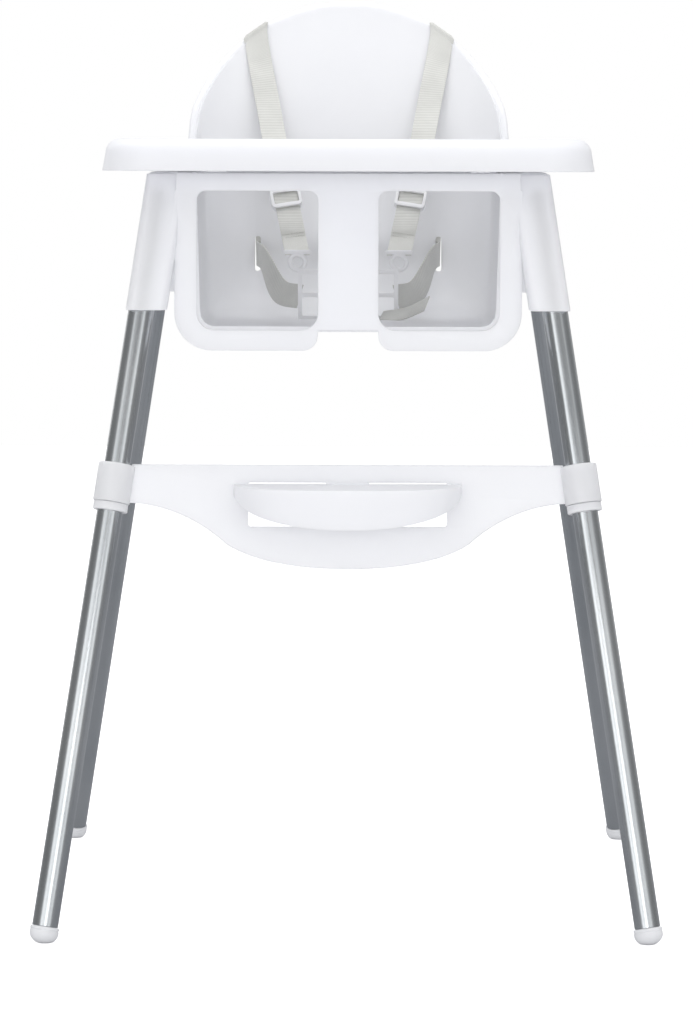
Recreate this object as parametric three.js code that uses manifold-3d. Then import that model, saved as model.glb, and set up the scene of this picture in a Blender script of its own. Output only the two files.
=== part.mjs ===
// Baby high chair: a moulded seat on four splayed steel legs, with a lift-off tray, a footrest
// between the front legs and a five-point harness.
// Millimetres, +Z up. The child faces -Y. The origin is on the floor, in the middle of the feet.

import * as THREE from 'three';
import { mergeVertices } from 'three/addons/utils/BufferGeometryUtils.js';
import Module from 'manifold-3d';

const wasm = await Module();
wasm.setup();

// ---------------------------------------------------------------- driving dimensions

// Clearances between pieces
const TOUCH_GAP = 0.3; // between pieces that rest on each other
const SLIDE_GAP = 0.4; // round a piece that slides

// Heights
const SEAT_HEIGHT = 583; // floor to the top of the seat's bottom
const ARM_RISE = 154; // seat bottom to the top of the arm rim
const ARM_DEPTH = 18; // height of the arm rim and of the front arch's bar

// Seat moulding
const SEAT_HALF_WIDTH = 148; // inside, at the front
const ARM_FLARE = 4; // how much wider the inside is at arm height
const SHELL_WALL = 3.5;
const SEAT_FRONT = -168; // outer face of the front wall
const FRONT_WALL = 15; // depth of the crotch post and the front arch
const BACK_START = 100; // inner face of the back, carried down to the seat bottom
const BACK_RECLINE = 0.24; // rearward lean per unit of height
const BACK_FILLET = 50; // seat bottom to back
const SIDE_FILLET = 17; // seat bottom to sides, and the leg holes' lower corners
const PLAN_CORNER = 84; // rounding of the back's corners in plan, at arm height
const PLAN_CORNER_FOOT = 0.6; // and its share of that at the seat bottom
const BACK_RADIUS = 172; // round top of the back, seen from the front
const BACK_CENTRE_RISE = 5; // centre of that round above the arm rim
const BACK_BLEND = 36; // height over which the back widens above the arms
const SWEEP_TOP_Y = 120; // the back's side edge near its top, seen from the side
const SWEEP_BEND_Y = 104; // and where it bends down to the arms
const ROLL_FACE = 5; // rolled edge of the back, seen from the front
const ROLL_DEPTH = 7; // and how far it turns rearwards
const POST_HALF_WIDTH = 29.5; // crotch post
const LIP_WIDTH = 20; // flange round the leg holes
const LIP_THICKNESS = 4;
const LEG_HOLE_TOP_RADIUS = 9;
const RIM_WALL = 3; // arm rim's skirt and top
const RIM_CORNER = 42; // arm rim's corners in plan
const RIM_REAR = 152;

// Legs
const TUBE_RADIUS = 12.5;
const TUBE_WALL = 1.2;
const LEG_TOP_X = 182; // leg axes where they meet the plane of the arm rim's top
const FRONT_LEG_TOP_Y = -150;
const REAR_LEG_TOP_Y = 125;
const FRONT_SPLAY = 0.149; // sideways lean per unit of height
const REAR_SPLAY = 0.1638;
const FRONT_RAKE = 0.2; // fore-and-aft lean per unit of height
const REAR_RAKE = 0.234;
const SOCKET_OUTER_WALL = 2;
const SOCKET_WIDTH = 39.5;
const SOCKET_SIDE_WALL = 3;
const FRONT_SOCKET_LENGTH = 134; // arm rim's top down to the socket's mouth
const REAR_SOCKET_LENGTH = 128;
const TUBE_STOP = 22; // tube end below the arm rim's top

// Foot caps
const FOOT_RADIUS = 14;
const FOOT_COLLAR = 12; // straight part of the cap
const SPIGOT_LENGTH = 26;
const FOOT_PAD_DEPTH = 1.2; // how much of the dome is cut flat by the floor

// Snap buttons
const BUTTON_RADIUS = 4;
const BUTTON_DROP = 80; // below the arm rim's top
const BUTTON_PROUD = 1.5;
const BUTTON_HEAD = 1.6; // thickness of the head inside the tube
const BUTTON_HEAD_RADIUS = 5.5;
const SPRING_THICKNESS = 0.8;
const SPRING_WIDTH = 8;
const SPRING_LENGTH = 34;

// Tray
const TRAY_HALF_WIDTH = 239;
const TRAY_FRONT = -240;
const TRAY_REAR = 46;
const TRAY_CORNER = 52;
const TRAY_HEIGHT = 31;
const TRAY_WALL = 3;
const TRAY_BORDER = 9; // width of the raised border
const TRAY_RECESS = 14; // border's top down to the deck
const TRAY_DRAFT = 3; // how far the sides lean in
const TRAY_ROUND = 9; // rounding of the upper edge
const BELLY_RADIUS = 130; // round cut-out for the child
const BELLY_OFFSET = 70; // its centre, behind the tray's rear edge
const RIB_FRONT = -130; // side ribs under the tray
const RIB_REAR = 40;
const RIB_REACH = 8; // how far the locating ribs go down inside the arms
const RIB_SPREAD = 18; // resting rib, outside the inner edge of the arm

// Footrest
const REST_TOP = 454;
const REST_RING_LENGTH = 37;
const RING_WALL = 3.2;
const REST_WALL = 4;
const REST_DROP = 100; // top edge to the lowest point of the panel
const REST_BELLY = 24; // height of the panel's rounded lower part
const REST_SHOULDER_SHARE = 0.55; // where that part meets the shoulders, as a share of the half width
const SHELF_HALF_WIDTH = 111;
const SHELF_REACH = 78;
const SHELF_DROP = 16.5; // top edge down to the shelf's surface
const SKIRT_HEIGHT = 34;
const SKIRT_CORNER = 22; // lower corners of the shelf, seen from the front
const SHELF_HOLE_HALF_WIDTH = 96.5;
const SHELF_HOLE_DROP = 59; // top edge down to the hole's lower edge
const SHELF_BRIDGE = 21; // half width of the bridge between the two slots
const SLOT_HEIGHT = 5;
const COLLET_WALL = 1.6;
const COLLET_HEAD = 8;
const COLLET_LENGTH = 34;
const COLLET_CUT = 3.2;

// Harness
const WEB_WIDTH = 25;
const WEB_THICKNESS = 1.4;
const WAIST_SLOT_X = 94.5;
const WAIST_SLOT_RISE = 67; // seat bottom to the middle of the slot
const SLOT_SPARE = 5.5; // webbing slot's length beyond the webbing, each end
const SLOT_OPENING = 6;
const CROTCH_SLOT_Y = -24;
const STRAP_LIFT = 0.44; // standoff where a strap turns over the back, per unit of its width
const SLIDER_BAR = 4;
const SLIDER_LENGTH = 22;
const SLIDER_PLATE = 2.4;
const BUCKLE_HALF_WIDTH = 26;
const BUCKLE_HEIGHT = 46;
const BUCKLE_DEPTH = 16;
const BUCKLE_RISE = 18; // seat bottom to the buckle's lower end
const BUCKLE_Y = 6;
const CLIP_WIDTH = 25;
const CLIP_HEIGHT = 52;
const CLIP_THICKNESS = 4;
const CLIP_BAR = 4.5;
const TONGUE_LENGTH = 11;
const TONGUE_HALF_WIDTH = 6;
const RELEASE_RADIUS = 9;

// Cutting shapes
const FAR = 400; // past every part of the chair, for blocks that trim
const MERGE_DISTANCE = 1e-4;

// Facets
const ROUND_STEPS = 24; // round a tube
const CORNER_STEPS = 6; // round a quarter turn

// ---------------------------------------------------------------- sizes worked out from those

const ARM_TOP = SEAT_HEIGHT + ARM_RISE;
const ARM_UNDERSIDE = ARM_TOP - ARM_DEPTH;
const BACK_CENTRE = ARM_TOP + BACK_CENTRE_RISE;
const BACK_TOP = BACK_CENTRE + BACK_RADIUS;
const FRONT_INNER = SEAT_FRONT + FRONT_WALL;
const BORE_RADIUS = TUBE_RADIUS + TOUCH_GAP;
const TUBE_BORE = TUBE_RADIUS - TUBE_WALL;
const SOCKET_OUTSIDE = BORE_RADIUS + SOCKET_OUTER_WALL;
const SOCKET_INSIDE = SOCKET_WIDTH - SOCKET_OUTSIDE;
const SOCKET_HALF_DEPTH = BORE_RADIUS + SOCKET_SIDE_WALL;
const RIM_HALF_WIDTH = LEG_TOP_X + SOCKET_OUTSIDE;

// ---------------------------------------------------------------- materials

function finish(name, color, roughness, metalness = 0) {
  return new THREE.MeshStandardMaterial({ name, color, roughness, metalness });
}

const whitePlastic = finish('white_plastic', 0xf0f0f2, 0.35);
const footPlastic = finish('foot_plastic', 0xececee, 0.45);
const steel = finish('steel', 0x9a9ea2, 0.3, 1);
const springSteel = finish('spring_steel', 0xb4b8bc, 0.35, 1);
const webbing = finish('webbing', 0xb9bab3, 0.9);
const fittingPlastic = finish('fitting_plastic', 0xe6e7e6, 0.5);

// ---------------------------------------------------------------- solids and cuts

function toSolid(geometry) {
  const bare = geometry.clone();
  bare.deleteAttribute('normal');
  bare.deleteAttribute('uv');
  const merged = mergeVertices(bare, MERGE_DISTANCE);
  const vertProperties = new Float32Array(merged.attributes.position.array);
  const triVerts = new Uint32Array(merged.index.array);
  return new wasm.Manifold(new wasm.Mesh({ numProp: 3, vertProperties, triVerts }));
}

function toGeometry(solid) {
  const mesh = solid.getMesh();
  const geometry = new THREE.BufferGeometry();
  geometry.setAttribute('position', new THREE.BufferAttribute(new Float32Array(mesh.vertProperties), 3));
  geometry.setIndex(new THREE.BufferAttribute(new Uint32Array(mesh.triVerts), 1));
  return geometry;
}

function join(...geometries) {
  return geometries.map(toSolid).reduce((whole, piece) => whole.add(piece));
}

// ---------------------------------------------------------------- shapes

function roundedOutline(left, right, low, high, lowRadius, highRadius = lowRadius) {
  const shape = new THREE.Shape();
  shape.absarc(left + lowRadius, low + lowRadius, lowRadius, Math.PI, 1.5 * Math.PI);
  shape.absarc(right - lowRadius, low + lowRadius, lowRadius, 1.5 * Math.PI, 2 * Math.PI);
  shape.absarc(right - highRadius, high - highRadius, highRadius, 0, 0.5 * Math.PI);
  shape.absarc(left + highRadius, high - highRadius, highRadius, 0.5 * Math.PI, Math.PI);
  shape.closePath();
  return shape;
}

function upright(shape, low, high, curveSegments = CORNER_STEPS) {
  const settings = { depth: high - low, bevelEnabled: false, curveSegments };
  return new THREE.ExtrudeGeometry(shape, settings).translate(0, 0, low);
}

// Extrudes a shape drawn in X and Z from yLow to yHigh.
function alongY(shape, yLow, yHigh, curveSegments = CORNER_STEPS) {
  const geometry = upright(shape, 0, yHigh - yLow, curveSegments);
  return geometry.rotateX(Math.PI / 2).translate(0, yHigh, 0);
}

// Extrudes a shape drawn in Y and Z from -halfWidth to +halfWidth.
function alongX(shape, halfWidth) {
  const turn = new THREE.Matrix4().makeBasis(
    new THREE.Vector3(0, 1, 0),
    new THREE.Vector3(0, 0, 1),
    new THREE.Vector3(1, 0, 0),
  );
  return upright(shape, -halfWidth, halfWidth).applyMatrix4(turn);
}

function block(xLow, xHigh, yLow, yHigh, zLow, zHigh) {
  const geometry = new THREE.BoxGeometry(xHigh - xLow, yHigh - yLow, zHigh - zLow);
  return geometry.translate((xLow + xHigh) / 2, (yLow + yHigh) / 2, (zLow + zHigh) / 2);
}

// A cylinder along Z, from low to high.
function rod(radius, low, high, steps = ROUND_STEPS) {
  const geometry = new THREE.CylinderGeometry(radius, radius, high - low, steps);
  return geometry.rotateX(Math.PI / 2).translate(0, 0, (low + high) / 2);
}

// A body of revolution about Z from its [radius, height] outline, listed from the axis outwards and up.
function turned(outline, steps = ROUND_STEPS) {
  const points = outline.map(([radius, height]) => new THREE.Vector2(radius, height));
  return new THREE.LatheGeometry(points, steps).rotateX(Math.PI / 2);
}

// Triangles between neighbouring rings of the same number of points.
function sideFaces(ringCount, count) {
  const index = [];
  for (let k = 0; k + 1 < ringCount; k += 1) {
    for (let i = 0; i < count; i += 1) {
      const a = k * count + i;
      const b = k * count + ((i + 1) % count);
      index.push(a, b, b + count, a, b + count, a + count);
    }
  }
  return index;
}

function meshOf(positions, index) {
  const geometry = new THREE.BufferGeometry();
  geometry.setAttribute('position', new THREE.Float32BufferAttribute(positions, 3));
  geometry.setIndex(index);
  return geometry;
}

// A closed skin over rings of points; each ring runs anticlockwise about the direction of travel.
function loft(rings) {
  const count = rings[0].length;
  const positions = rings.flatMap((ring) => ring.flatMap((point) => point.toArray()));
  const index = sideFaces(rings.length, count);
  for (const last of [false, true]) {
    const ring = last ? rings[rings.length - 1] : rings[0];
    const start = last ? (rings.length - 1) * count : 0;
    const centre = new THREE.Vector3();
    for (const point of ring) centre.addScaledVector(point, 1 / count);
    const middle = positions.length / 3;
    positions.push(centre.x, centre.y, centre.z);
    for (let i = 0; i < count; i += 1) {
      const here = start + i;
      const next = start + ((i + 1) % count);
      index.push(middle, last ? here : next, last ? next : here);
    }
  }
  return meshOf(positions, index);
}

// A closed skin over rings of [x, y, z] points whose ends are flat caps, dented or not.
function skinBetween(rings, outline) {
  const count = outline.length;
  const caps = THREE.ShapeUtils.triangulateShape(outline, []);
  const index = sideFaces(rings.length, count);
  const last = (rings.length - 1) * count;
  for (const [a, b, c] of caps) index.push(c, b, a, last + a, last + b, last + c);
  return meshOf(rings.flat(2), index);
}

// Flat webbing along a route of {at, across} stations, with the same steps from each to the next.
function ribbon(stations, stepsEach) {
  const steps = (stations.length - 1) * stepsEach;
  const centre = new THREE.CatmullRomCurve3(stations.map((s) => new THREE.Vector3(...s.at)));
  const sideways = new THREE.CatmullRomCurve3(stations.map((s) => new THREE.Vector3(...s.across)));
  const rings = [];
  for (let k = 0; k <= steps; k += 1) {
    const share = k / steps;
    const point = centre.getPoint(share);
    const ahead = centre.getTangent(share);
    const across = sideways.getPoint(share);
    across.addScaledVector(ahead, -across.dot(ahead)).normalize();
    const normal = new THREE.Vector3().crossVectors(ahead, across);
    const corner = (a, n) => point.clone()
      .addScaledVector(across, (a * WEB_WIDTH) / 2)
      .addScaledVector(normal, (n * WEB_THICKNESS) / 2);
    rings.push([corner(1, -1), corner(1, 1), corner(-1, 1), corner(-1, -1)]);
  }
  return loft(rings);
}

// ---------------------------------------------------------------- the chair's group

const highChair = new THREE.Group();

function addPart(parent, name, shape, material) {
  const geometry = shape instanceof THREE.BufferGeometry ? shape : toGeometry(shape);
  const mesh = new THREE.Mesh(geometry, material);
  mesh.name = name;
  parent.add(mesh);
  return mesh;
}

// ---------------------------------------------------------------- leg axes

// side is +1 on +X and -1 on -X; end is -1 at the front and +1 at the rear.
function makeLeg(side, end) {
  const front = end < 0;
  const splay = front ? FRONT_SPLAY : REAR_SPLAY;
  const rake = front ? FRONT_RAKE : REAR_RAKE;
  const topY = front ? FRONT_LEG_TOP_Y : REAR_LEG_TOP_Y;
  const upwards = new THREE.Vector3(-side * splay, -end * rake, 1);
  const stretch = upwards.length();
  const zAxis = upwards.clone().normalize();
  const xAxis = new THREE.Vector3(0, 1, 0).cross(zAxis).normalize();
  const yAxis = new THREE.Vector3().crossVectors(zAxis, xAxis);
  const group = new THREE.Group();
  group.position.set(side * (LEG_TOP_X + splay * ARM_TOP), topY + end * rake * ARM_TOP, 0);
  group.quaternion.setFromRotationMatrix(new THREE.Matrix4().makeBasis(xAxis, yAxis, zAxis));
  group.updateMatrixWorld();
  highChair.add(group);
  const name = `${front ? 'front' : 'rear'}_${side < 0 ? 'left' : 'right'}`;
  return {
    name,
    side,
    end,
    group,
    // Distance along the axis of the point at this height.
    reach: (height) => height * stretch,
    // A piece drawn on the leg's own axes, moved into the chair's frame.
    placed: (geometry) => geometry.clone().applyMatrix4(group.matrixWorld),
    // The axis point at this height.
    at: (height) => new THREE.Vector3(0, 0, height * stretch).applyMatrix4(group.matrixWorld),
    socketLength: front ? FRONT_SOCKET_LENGTH : REAR_SOCKET_LENGTH,
  };
}

const legs = [];
for (const end of [-1, 1]) {
  for (const side of [-1, 1]) legs.push(makeLeg(side, end));
}

// ---------------------------------------------------------------- seat moulding

function smoothStep(share) {
  const t = Math.min(Math.max(share, 0), 1);
  return t * t * (3 - 2 * t);
}

// How far a quarter-round fillet still is from the wall, at this height above its foot.
function filletInset(radius, height) {
  if (height >= radius) return 0;
  return radius - Math.sqrt(radius * radius - (radius - height) ** 2);
}

function insideHalfWidth(height) {
  const flare = ARM_FLARE * Math.min(height / ARM_RISE, 1);
  const widening = BACK_RADIUS - SHELL_WALL - SEAT_HALF_WIDTH - ARM_FLARE;
  const blend = smoothStep((height - ARM_RISE) / BACK_BLEND);
  return SEAT_HALF_WIDTH + flare + widening * blend - filletInset(SIDE_FILLET, height);
}

function insideBack(height) {
  return BACK_START + BACK_RECLINE * height - filletInset(BACK_FILLET, height);
}

// One level of the bucket: square corners in front, round ones at the back.
function bucketRing(height, offset, front) {
  const halfWidth = insideHalfWidth(Math.max(height, 0)) + offset;
  const back = insideBack(Math.max(height, 0)) + offset;
  const share = PLAN_CORNER_FOOT + (1 - PLAN_CORNER_FOOT) * smoothStep(height / ARM_RISE);
  const radius = PLAN_CORNER * share + offset;
  const level = SEAT_HEIGHT + height;
  const ring = [new THREE.Vector3(-halfWidth, front, level), new THREE.Vector3(halfWidth, front, level)];
  for (const side of [1, -1]) {
    for (let k = 0; k <= CORNER_STEPS + 2; k += 1) {
      const turn = (k / (CORNER_STEPS + 2)) * (Math.PI / 2);
      const angle = side > 0 ? turn : Math.PI / 2 + turn;
      const x = side * (halfWidth - radius) + radius * Math.cos(angle);
      const y = back - radius + radius * Math.sin(angle);
      ring.push(new THREE.Vector3(x, y, level));
    }
  }
  return ring;
}

const BACK_LEVELS = [0.15, 0.35, 0.55, 0.75, 1].map((share) => ARM_RISE + BACK_BLEND * share);
const BUCKET_LEVELS = [
  0, 2, 6, 11, SIDE_FILLET, 30, BACK_FILLET, 80, 115, ARM_RISE, ...BACK_LEVELS, 240, 290,
  BACK_TOP - SEAT_HEIGHT + 10,
];

function bucket(offset, front) {
  const rings = BUCKET_LEVELS.map((height) => bucketRing(height, offset, front));
  if (offset > 0) rings[0] = bucketRing(-offset, 0, front);
  return loft(rings);
}

// The outline kept when the back is seen from the front.
function backOutline(radius) {
  const shape = new THREE.Shape();
  shape.moveTo(-radius, ARM_UNDERSIDE);
  shape.lineTo(radius, ARM_UNDERSIDE);
  shape.absarc(0, BACK_CENTRE, radius, 0, Math.PI);
  shape.closePath();
  return shape;
}

// The part kept when the back is seen from the side: its edge sweeps up from the arms.
function sideOutline() {
  const farBack = 2 * RIM_REAR;
  const shape = new THREE.Shape();
  shape.moveTo(farBack, ARM_UNDERSIDE);
  shape.lineTo(farBack, BACK_TOP + 20);
  shape.lineTo(SWEEP_TOP_Y, BACK_TOP + 20);
  shape.bezierCurveTo(
    SWEEP_TOP_Y - 2, BACK_CENTRE + 70,
    SWEEP_BEND_Y, ARM_TOP + 12,
    TRAY_REAR + 8, ARM_TOP - 2,
  );
  shape.lineTo(TRAY_REAR, ARM_UNDERSIDE);
  shape.closePath();
  return shape;
}

function makeBack(inside, outside) {
  const side = toSolid(alongX(sideOutline(), 2 * BACK_RADIUS));
  const whole = toSolid(alongY(backOutline(BACK_RADIUS), -FAR, FAR, 20));
  const face = toSolid(alongY(backOutline(BACK_RADIUS - ROLL_FACE), -FAR, FAR, 20));
  const roll = toSolid(bucket(SHELL_WALL + ROLL_DEPTH, SEAT_FRONT)).subtract(face);
  return outside.add(roll).intersect(whole).intersect(side).subtract(inside);
}

// Flange round the two leg holes, with the crotch post between them.
function frontOutline() {
  const outer = SEAT_HALF_WIDTH + LIP_WIDTH + 2;
  const bottom = SEAT_HEIGHT - LIP_WIDTH;
  const corner = LIP_WIDTH + SIDE_FILLET;
  const tip = LIP_WIDTH * 0.75;
  const shape = new THREE.Shape();
  shape.moveTo(-outer, ARM_UNDERSIDE + 1);
  shape.absarc(-outer + corner, bottom + corner, corner, Math.PI, 1.5 * Math.PI);
  shape.absarc(-POST_HALF_WIDTH - tip, bottom + tip, tip, 1.5 * Math.PI, 2 * Math.PI);
  shape.lineTo(-POST_HALF_WIDTH, SEAT_HEIGHT);
  shape.lineTo(POST_HALF_WIDTH, SEAT_HEIGHT);
  shape.absarc(POST_HALF_WIDTH + tip, bottom + tip, tip, Math.PI, 1.5 * Math.PI);
  shape.absarc(outer - corner, bottom + corner, corner, 1.5 * Math.PI, 2 * Math.PI);
  shape.lineTo(outer, ARM_UNDERSIDE + 1);
  shape.closePath();
  return shape;
}

function legHoleOutline(side) {
  const near = side * POST_HALF_WIDTH;
  const far = side * SEAT_HALF_WIDTH;
  const low = Math.min(near, far);
  const high = Math.max(near, far);
  return roundedOutline(low, high, SEAT_HEIGHT, ARM_UNDERSIDE, SIDE_FILLET, LEG_HOLE_TOP_RADIUS);
}

// The arm rim: a channel open downwards that runs round the bucket and carries the sockets.
function makeRim(outside) {
  const outline = (inset) => roundedOutline(
    -RIM_HALF_WIDTH + inset, RIM_HALF_WIDTH - inset,
    SEAT_FRONT + inset, RIM_REAR - inset,
    RIM_CORNER - inset,
  );
  const hollow = toSolid(upright(outline(RIM_WALL), ARM_UNDERSIDE - 1, ARM_TOP - RIM_WALL));
  return toSolid(upright(outline(0), ARM_UNDERSIDE, ARM_TOP)).subtract(hollow.subtract(outside));
}

function socketBody(leg) {
  const outward = leg.side * SOCKET_OUTSIDE;
  const inward = -leg.side * SOCKET_INSIDE;
  const outline = roundedOutline(
    Math.min(outward, inward), Math.max(outward, inward),
    -SOCKET_HALF_DEPTH, SOCKET_HALF_DEPTH, SOCKET_OUTSIDE * 0.6,
  );
  const mouth = ARM_TOP - leg.socketLength;
  const raw = toSolid(leg.placed(upright(outline, leg.reach(mouth) - 30, leg.reach(ARM_TOP) + 30)));
  return raw.intersect(toSolid(block(-FAR, FAR, -FAR, FAR, mouth, ARM_TOP - RIM_WALL / 2)));
}

function socketBore(leg) {
  const mouth = ARM_TOP - leg.socketLength;
  const stop = leg.reach(ARM_TOP - TUBE_STOP) + TOUCH_GAP;
  return toSolid(leg.placed(rod(BORE_RADIUS, leg.reach(mouth) - 40, stop)));
}

// A snap button's axis points from the leg's axis towards the middle of the chair.
function buttonRod(leg, radius, low, high, steps = 14) {
  const geometry = rod(radius, low, high, steps).rotateX(leg.end * Math.PI / 2);
  return geometry.translate(0, 0, leg.reach(ARM_TOP - BUTTON_DROP));
}

function makeSeat() {
  const inside = toSolid(bucket(0, FRONT_INNER));
  const outside = toSolid(bucket(SHELL_WALL, SEAT_FRONT));
  const belowArms = toSolid(block(-FAR, FAR, -FAR, FAR, 0, ARM_TOP));
  const lowFront = SEAT_FRONT - LIP_THICKNESS;
  let seat = outside.intersect(belowArms).add(makeRim(outside));
  seat = seat.add(toSolid(alongY(frontOutline(), lowFront, SEAT_FRONT + 1, 8)));
  for (const leg of legs) seat = seat.add(socketBody(leg));
  seat = seat.subtract(inside).add(makeBack(inside, outside));
  for (const side of [-1, 1]) {
    seat = seat.subtract(toSolid(alongY(legHoleOutline(side), lowFront - 5, FRONT_INNER + 1, 8)));
    const middle = SEAT_HEIGHT + WAIST_SLOT_RISE;
    const half = WEB_WIDTH / 2 + SLOT_SPARE;
    const x = side * WAIST_SLOT_X;
    const wide = SLOT_OPENING / 2;
    seat = seat.subtract(toSolid(block(x - wide, x + wide, 60, 200, middle - half, middle + half)));
  }
  const crotchHalf = WEB_WIDTH / 2 + 2;
  const slotWide = SLOT_OPENING / 2;
  seat = seat.subtract(toSolid(block(
    -crotchHalf, crotchHalf, CROTCH_SLOT_Y - slotWide, CROTCH_SLOT_Y + slotWide,
    SEAT_HEIGHT - 20, SEAT_HEIGHT + 10,
  )));
  for (const leg of legs) {
    seat = seat.subtract(socketBore(leg));
    seat = seat.subtract(toSolid(leg.placed(buttonRod(leg, BUTTON_RADIUS + SLIDE_GAP, 0, 40))));
  }
  return seat;
}

addPart(highChair, 'seat_shell', makeSeat(), whitePlastic);

// ---------------------------------------------------------------- legs, feet and snap buttons

const capTop = 2 * FOOT_RADIUS * 0.45 + FOOT_COLLAR;

function footCap(leg) {
  const dome = FOOT_RADIUS * 0.75;
  const outline = [[0, 0]];
  for (let k = 1; k <= 4; k += 1) {
    const angle = (k / 4) * (Math.PI / 2);
    outline.push([FOOT_RADIUS * Math.sin(angle), dome * (1 - Math.cos(angle))]);
  }
  outline.push([FOOT_RADIUS, capTop]);
  outline.push([TUBE_BORE - TOUCH_GAP, capTop]);
  outline.push([TUBE_BORE - TOUCH_GAP, capTop + SPIGOT_LENGTH]);
  outline.push([0, capTop + SPIGOT_LENGTH]);
  const whole = toSolid(leg.placed(turned(outline).translate(0, 0, -FOOT_PAD_DEPTH)));
  return whole.subtract(toSolid(block(-FAR, FAR, -FAR, FAR, -50, 0)));
}

function legTube(leg) {
  const low = capTop - FOOT_PAD_DEPTH + TOUCH_GAP;
  const high = leg.reach(ARM_TOP - TUBE_STOP);
  const tube = toSolid(rod(TUBE_RADIUS, low, high)).subtract(toSolid(rod(TUBE_BORE, low - 5, high + 5)));
  return tube.subtract(toSolid(buttonRod(leg, BUTTON_RADIUS + SLIDE_GAP, 0, 30)));
}

// Where the button's flat head meets the tube's round bore.
const buttonSeat = Math.sqrt(TUBE_BORE ** 2 - BUTTON_HEAD_RADIUS ** 2) - TOUCH_GAP;

function snapButton(leg) {
  const headBottom = buttonSeat - BUTTON_HEAD;
  const tip = SOCKET_HALF_DEPTH + BUTTON_PROUD;
  const outline = [
    [0, headBottom], [BUTTON_HEAD_RADIUS, headBottom], [BUTTON_HEAD_RADIUS, buttonSeat],
    [BUTTON_RADIUS, buttonSeat], [BUTTON_RADIUS, tip - 1.2], [BUTTON_RADIUS - 1.2, tip], [0, tip],
  ];
  const turn = leg.end * Math.PI / 2;
  return turned(outline, 14).rotateX(turn).translate(0, 0, leg.reach(ARM_TOP - BUTTON_DROP));
}

// A leaf bent into a narrow V: one arm presses the button's head, the other the tube's far wall.
function buttonSpring(leg) {
  const near = buttonSeat - BUTTON_HEAD - TOUCH_GAP;
  const far = -(TUBE_BORE - 1.6);
  const t = SPRING_THICKNESS;
  const foot = -SPRING_LENGTH;
  const top = BUTTON_RADIUS + 2;
  const shape = new THREE.Shape();
  shape.moveTo(near, top);
  shape.lineTo(near - t, top);
  shape.lineTo(near - t, -top);
  shape.lineTo(1, foot + 2 * t);
  shape.lineTo(-1, foot + 2 * t);
  shape.lineTo(far + t, top);
  shape.lineTo(far, top);
  shape.lineTo(-1.6, foot);
  shape.lineTo(1.6, foot);
  shape.lineTo(near, -top);
  shape.closePath();
  const leaf = alongX(shape, SPRING_WIDTH / 2);
  if (leg.end > 0) leaf.rotateZ(Math.PI);
  return leaf.translate(0, 0, leg.reach(ARM_TOP - BUTTON_DROP));
}

for (const leg of legs) {
  addPart(leg.group, `leg_tube_${leg.name}`, legTube(leg), steel);
  addPart(highChair, `foot_cap_${leg.name}`, footCap(leg), footPlastic);
  addPart(leg.group, `snap_button_${leg.name}`, snapButton(leg), springSteel);
  addPart(leg.group, `button_spring_${leg.name}`, buttonSpring(leg), springSteel);
}

// ---------------------------------------------------------------- tray

function trayOutline(inset) {
  const side = TRAY_HALF_WIDTH - inset;
  const front = TRAY_FRONT + inset;
  const rear = TRAY_REAR - inset;
  const corner = TRAY_CORNER - inset;
  const rearCorner = corner * 0.7;
  const belly = BELLY_RADIUS + inset;
  const shape = new THREE.Shape();
  shape.absarc(-side + corner, front + corner, corner, Math.PI, 1.5 * Math.PI);
  shape.absarc(side - corner, front + corner, corner, 1.5 * Math.PI, 2 * Math.PI);
  shape.absarc(side - rearCorner, rear - rearCorner, rearCorner, 0, 0.5 * Math.PI);
  const turn = Math.asin((BELLY_OFFSET + inset) / belly);
  shape.absarc(0, TRAY_REAR + BELLY_OFFSET, belly, -turn, Math.PI + turn, true);
  shape.absarc(-side + rearCorner, rear - rearCorner, rearCorner, 0.5 * Math.PI, Math.PI);
  shape.closePath();
  return shape;
}

// The tray's outside: its sides lean in a little and round over to the border.
function trayBody(bottom, top) {
  const steps = CORNER_STEPS + 2;
  const levels = [[0, bottom], [TRAY_DRAFT, top - TRAY_ROUND]];
  for (const turn of [0.35, 0.7, 1]) {
    const angle = turn * (Math.PI / 2);
    levels.push([
      TRAY_DRAFT + TRAY_ROUND * (1 - Math.cos(angle)),
      top - TRAY_ROUND * (1 - Math.sin(angle)),
    ]);
  }
  const ring = (inset) => trayOutline(inset).getPoints(steps).slice(0, -1);
  const rings = levels.map(([inset, height]) => ring(inset).map((p) => [p.x, p.y, height]));
  return skinBetween(rings, trayOutline(0).getPoints(steps).slice(0, -1));
}

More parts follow.
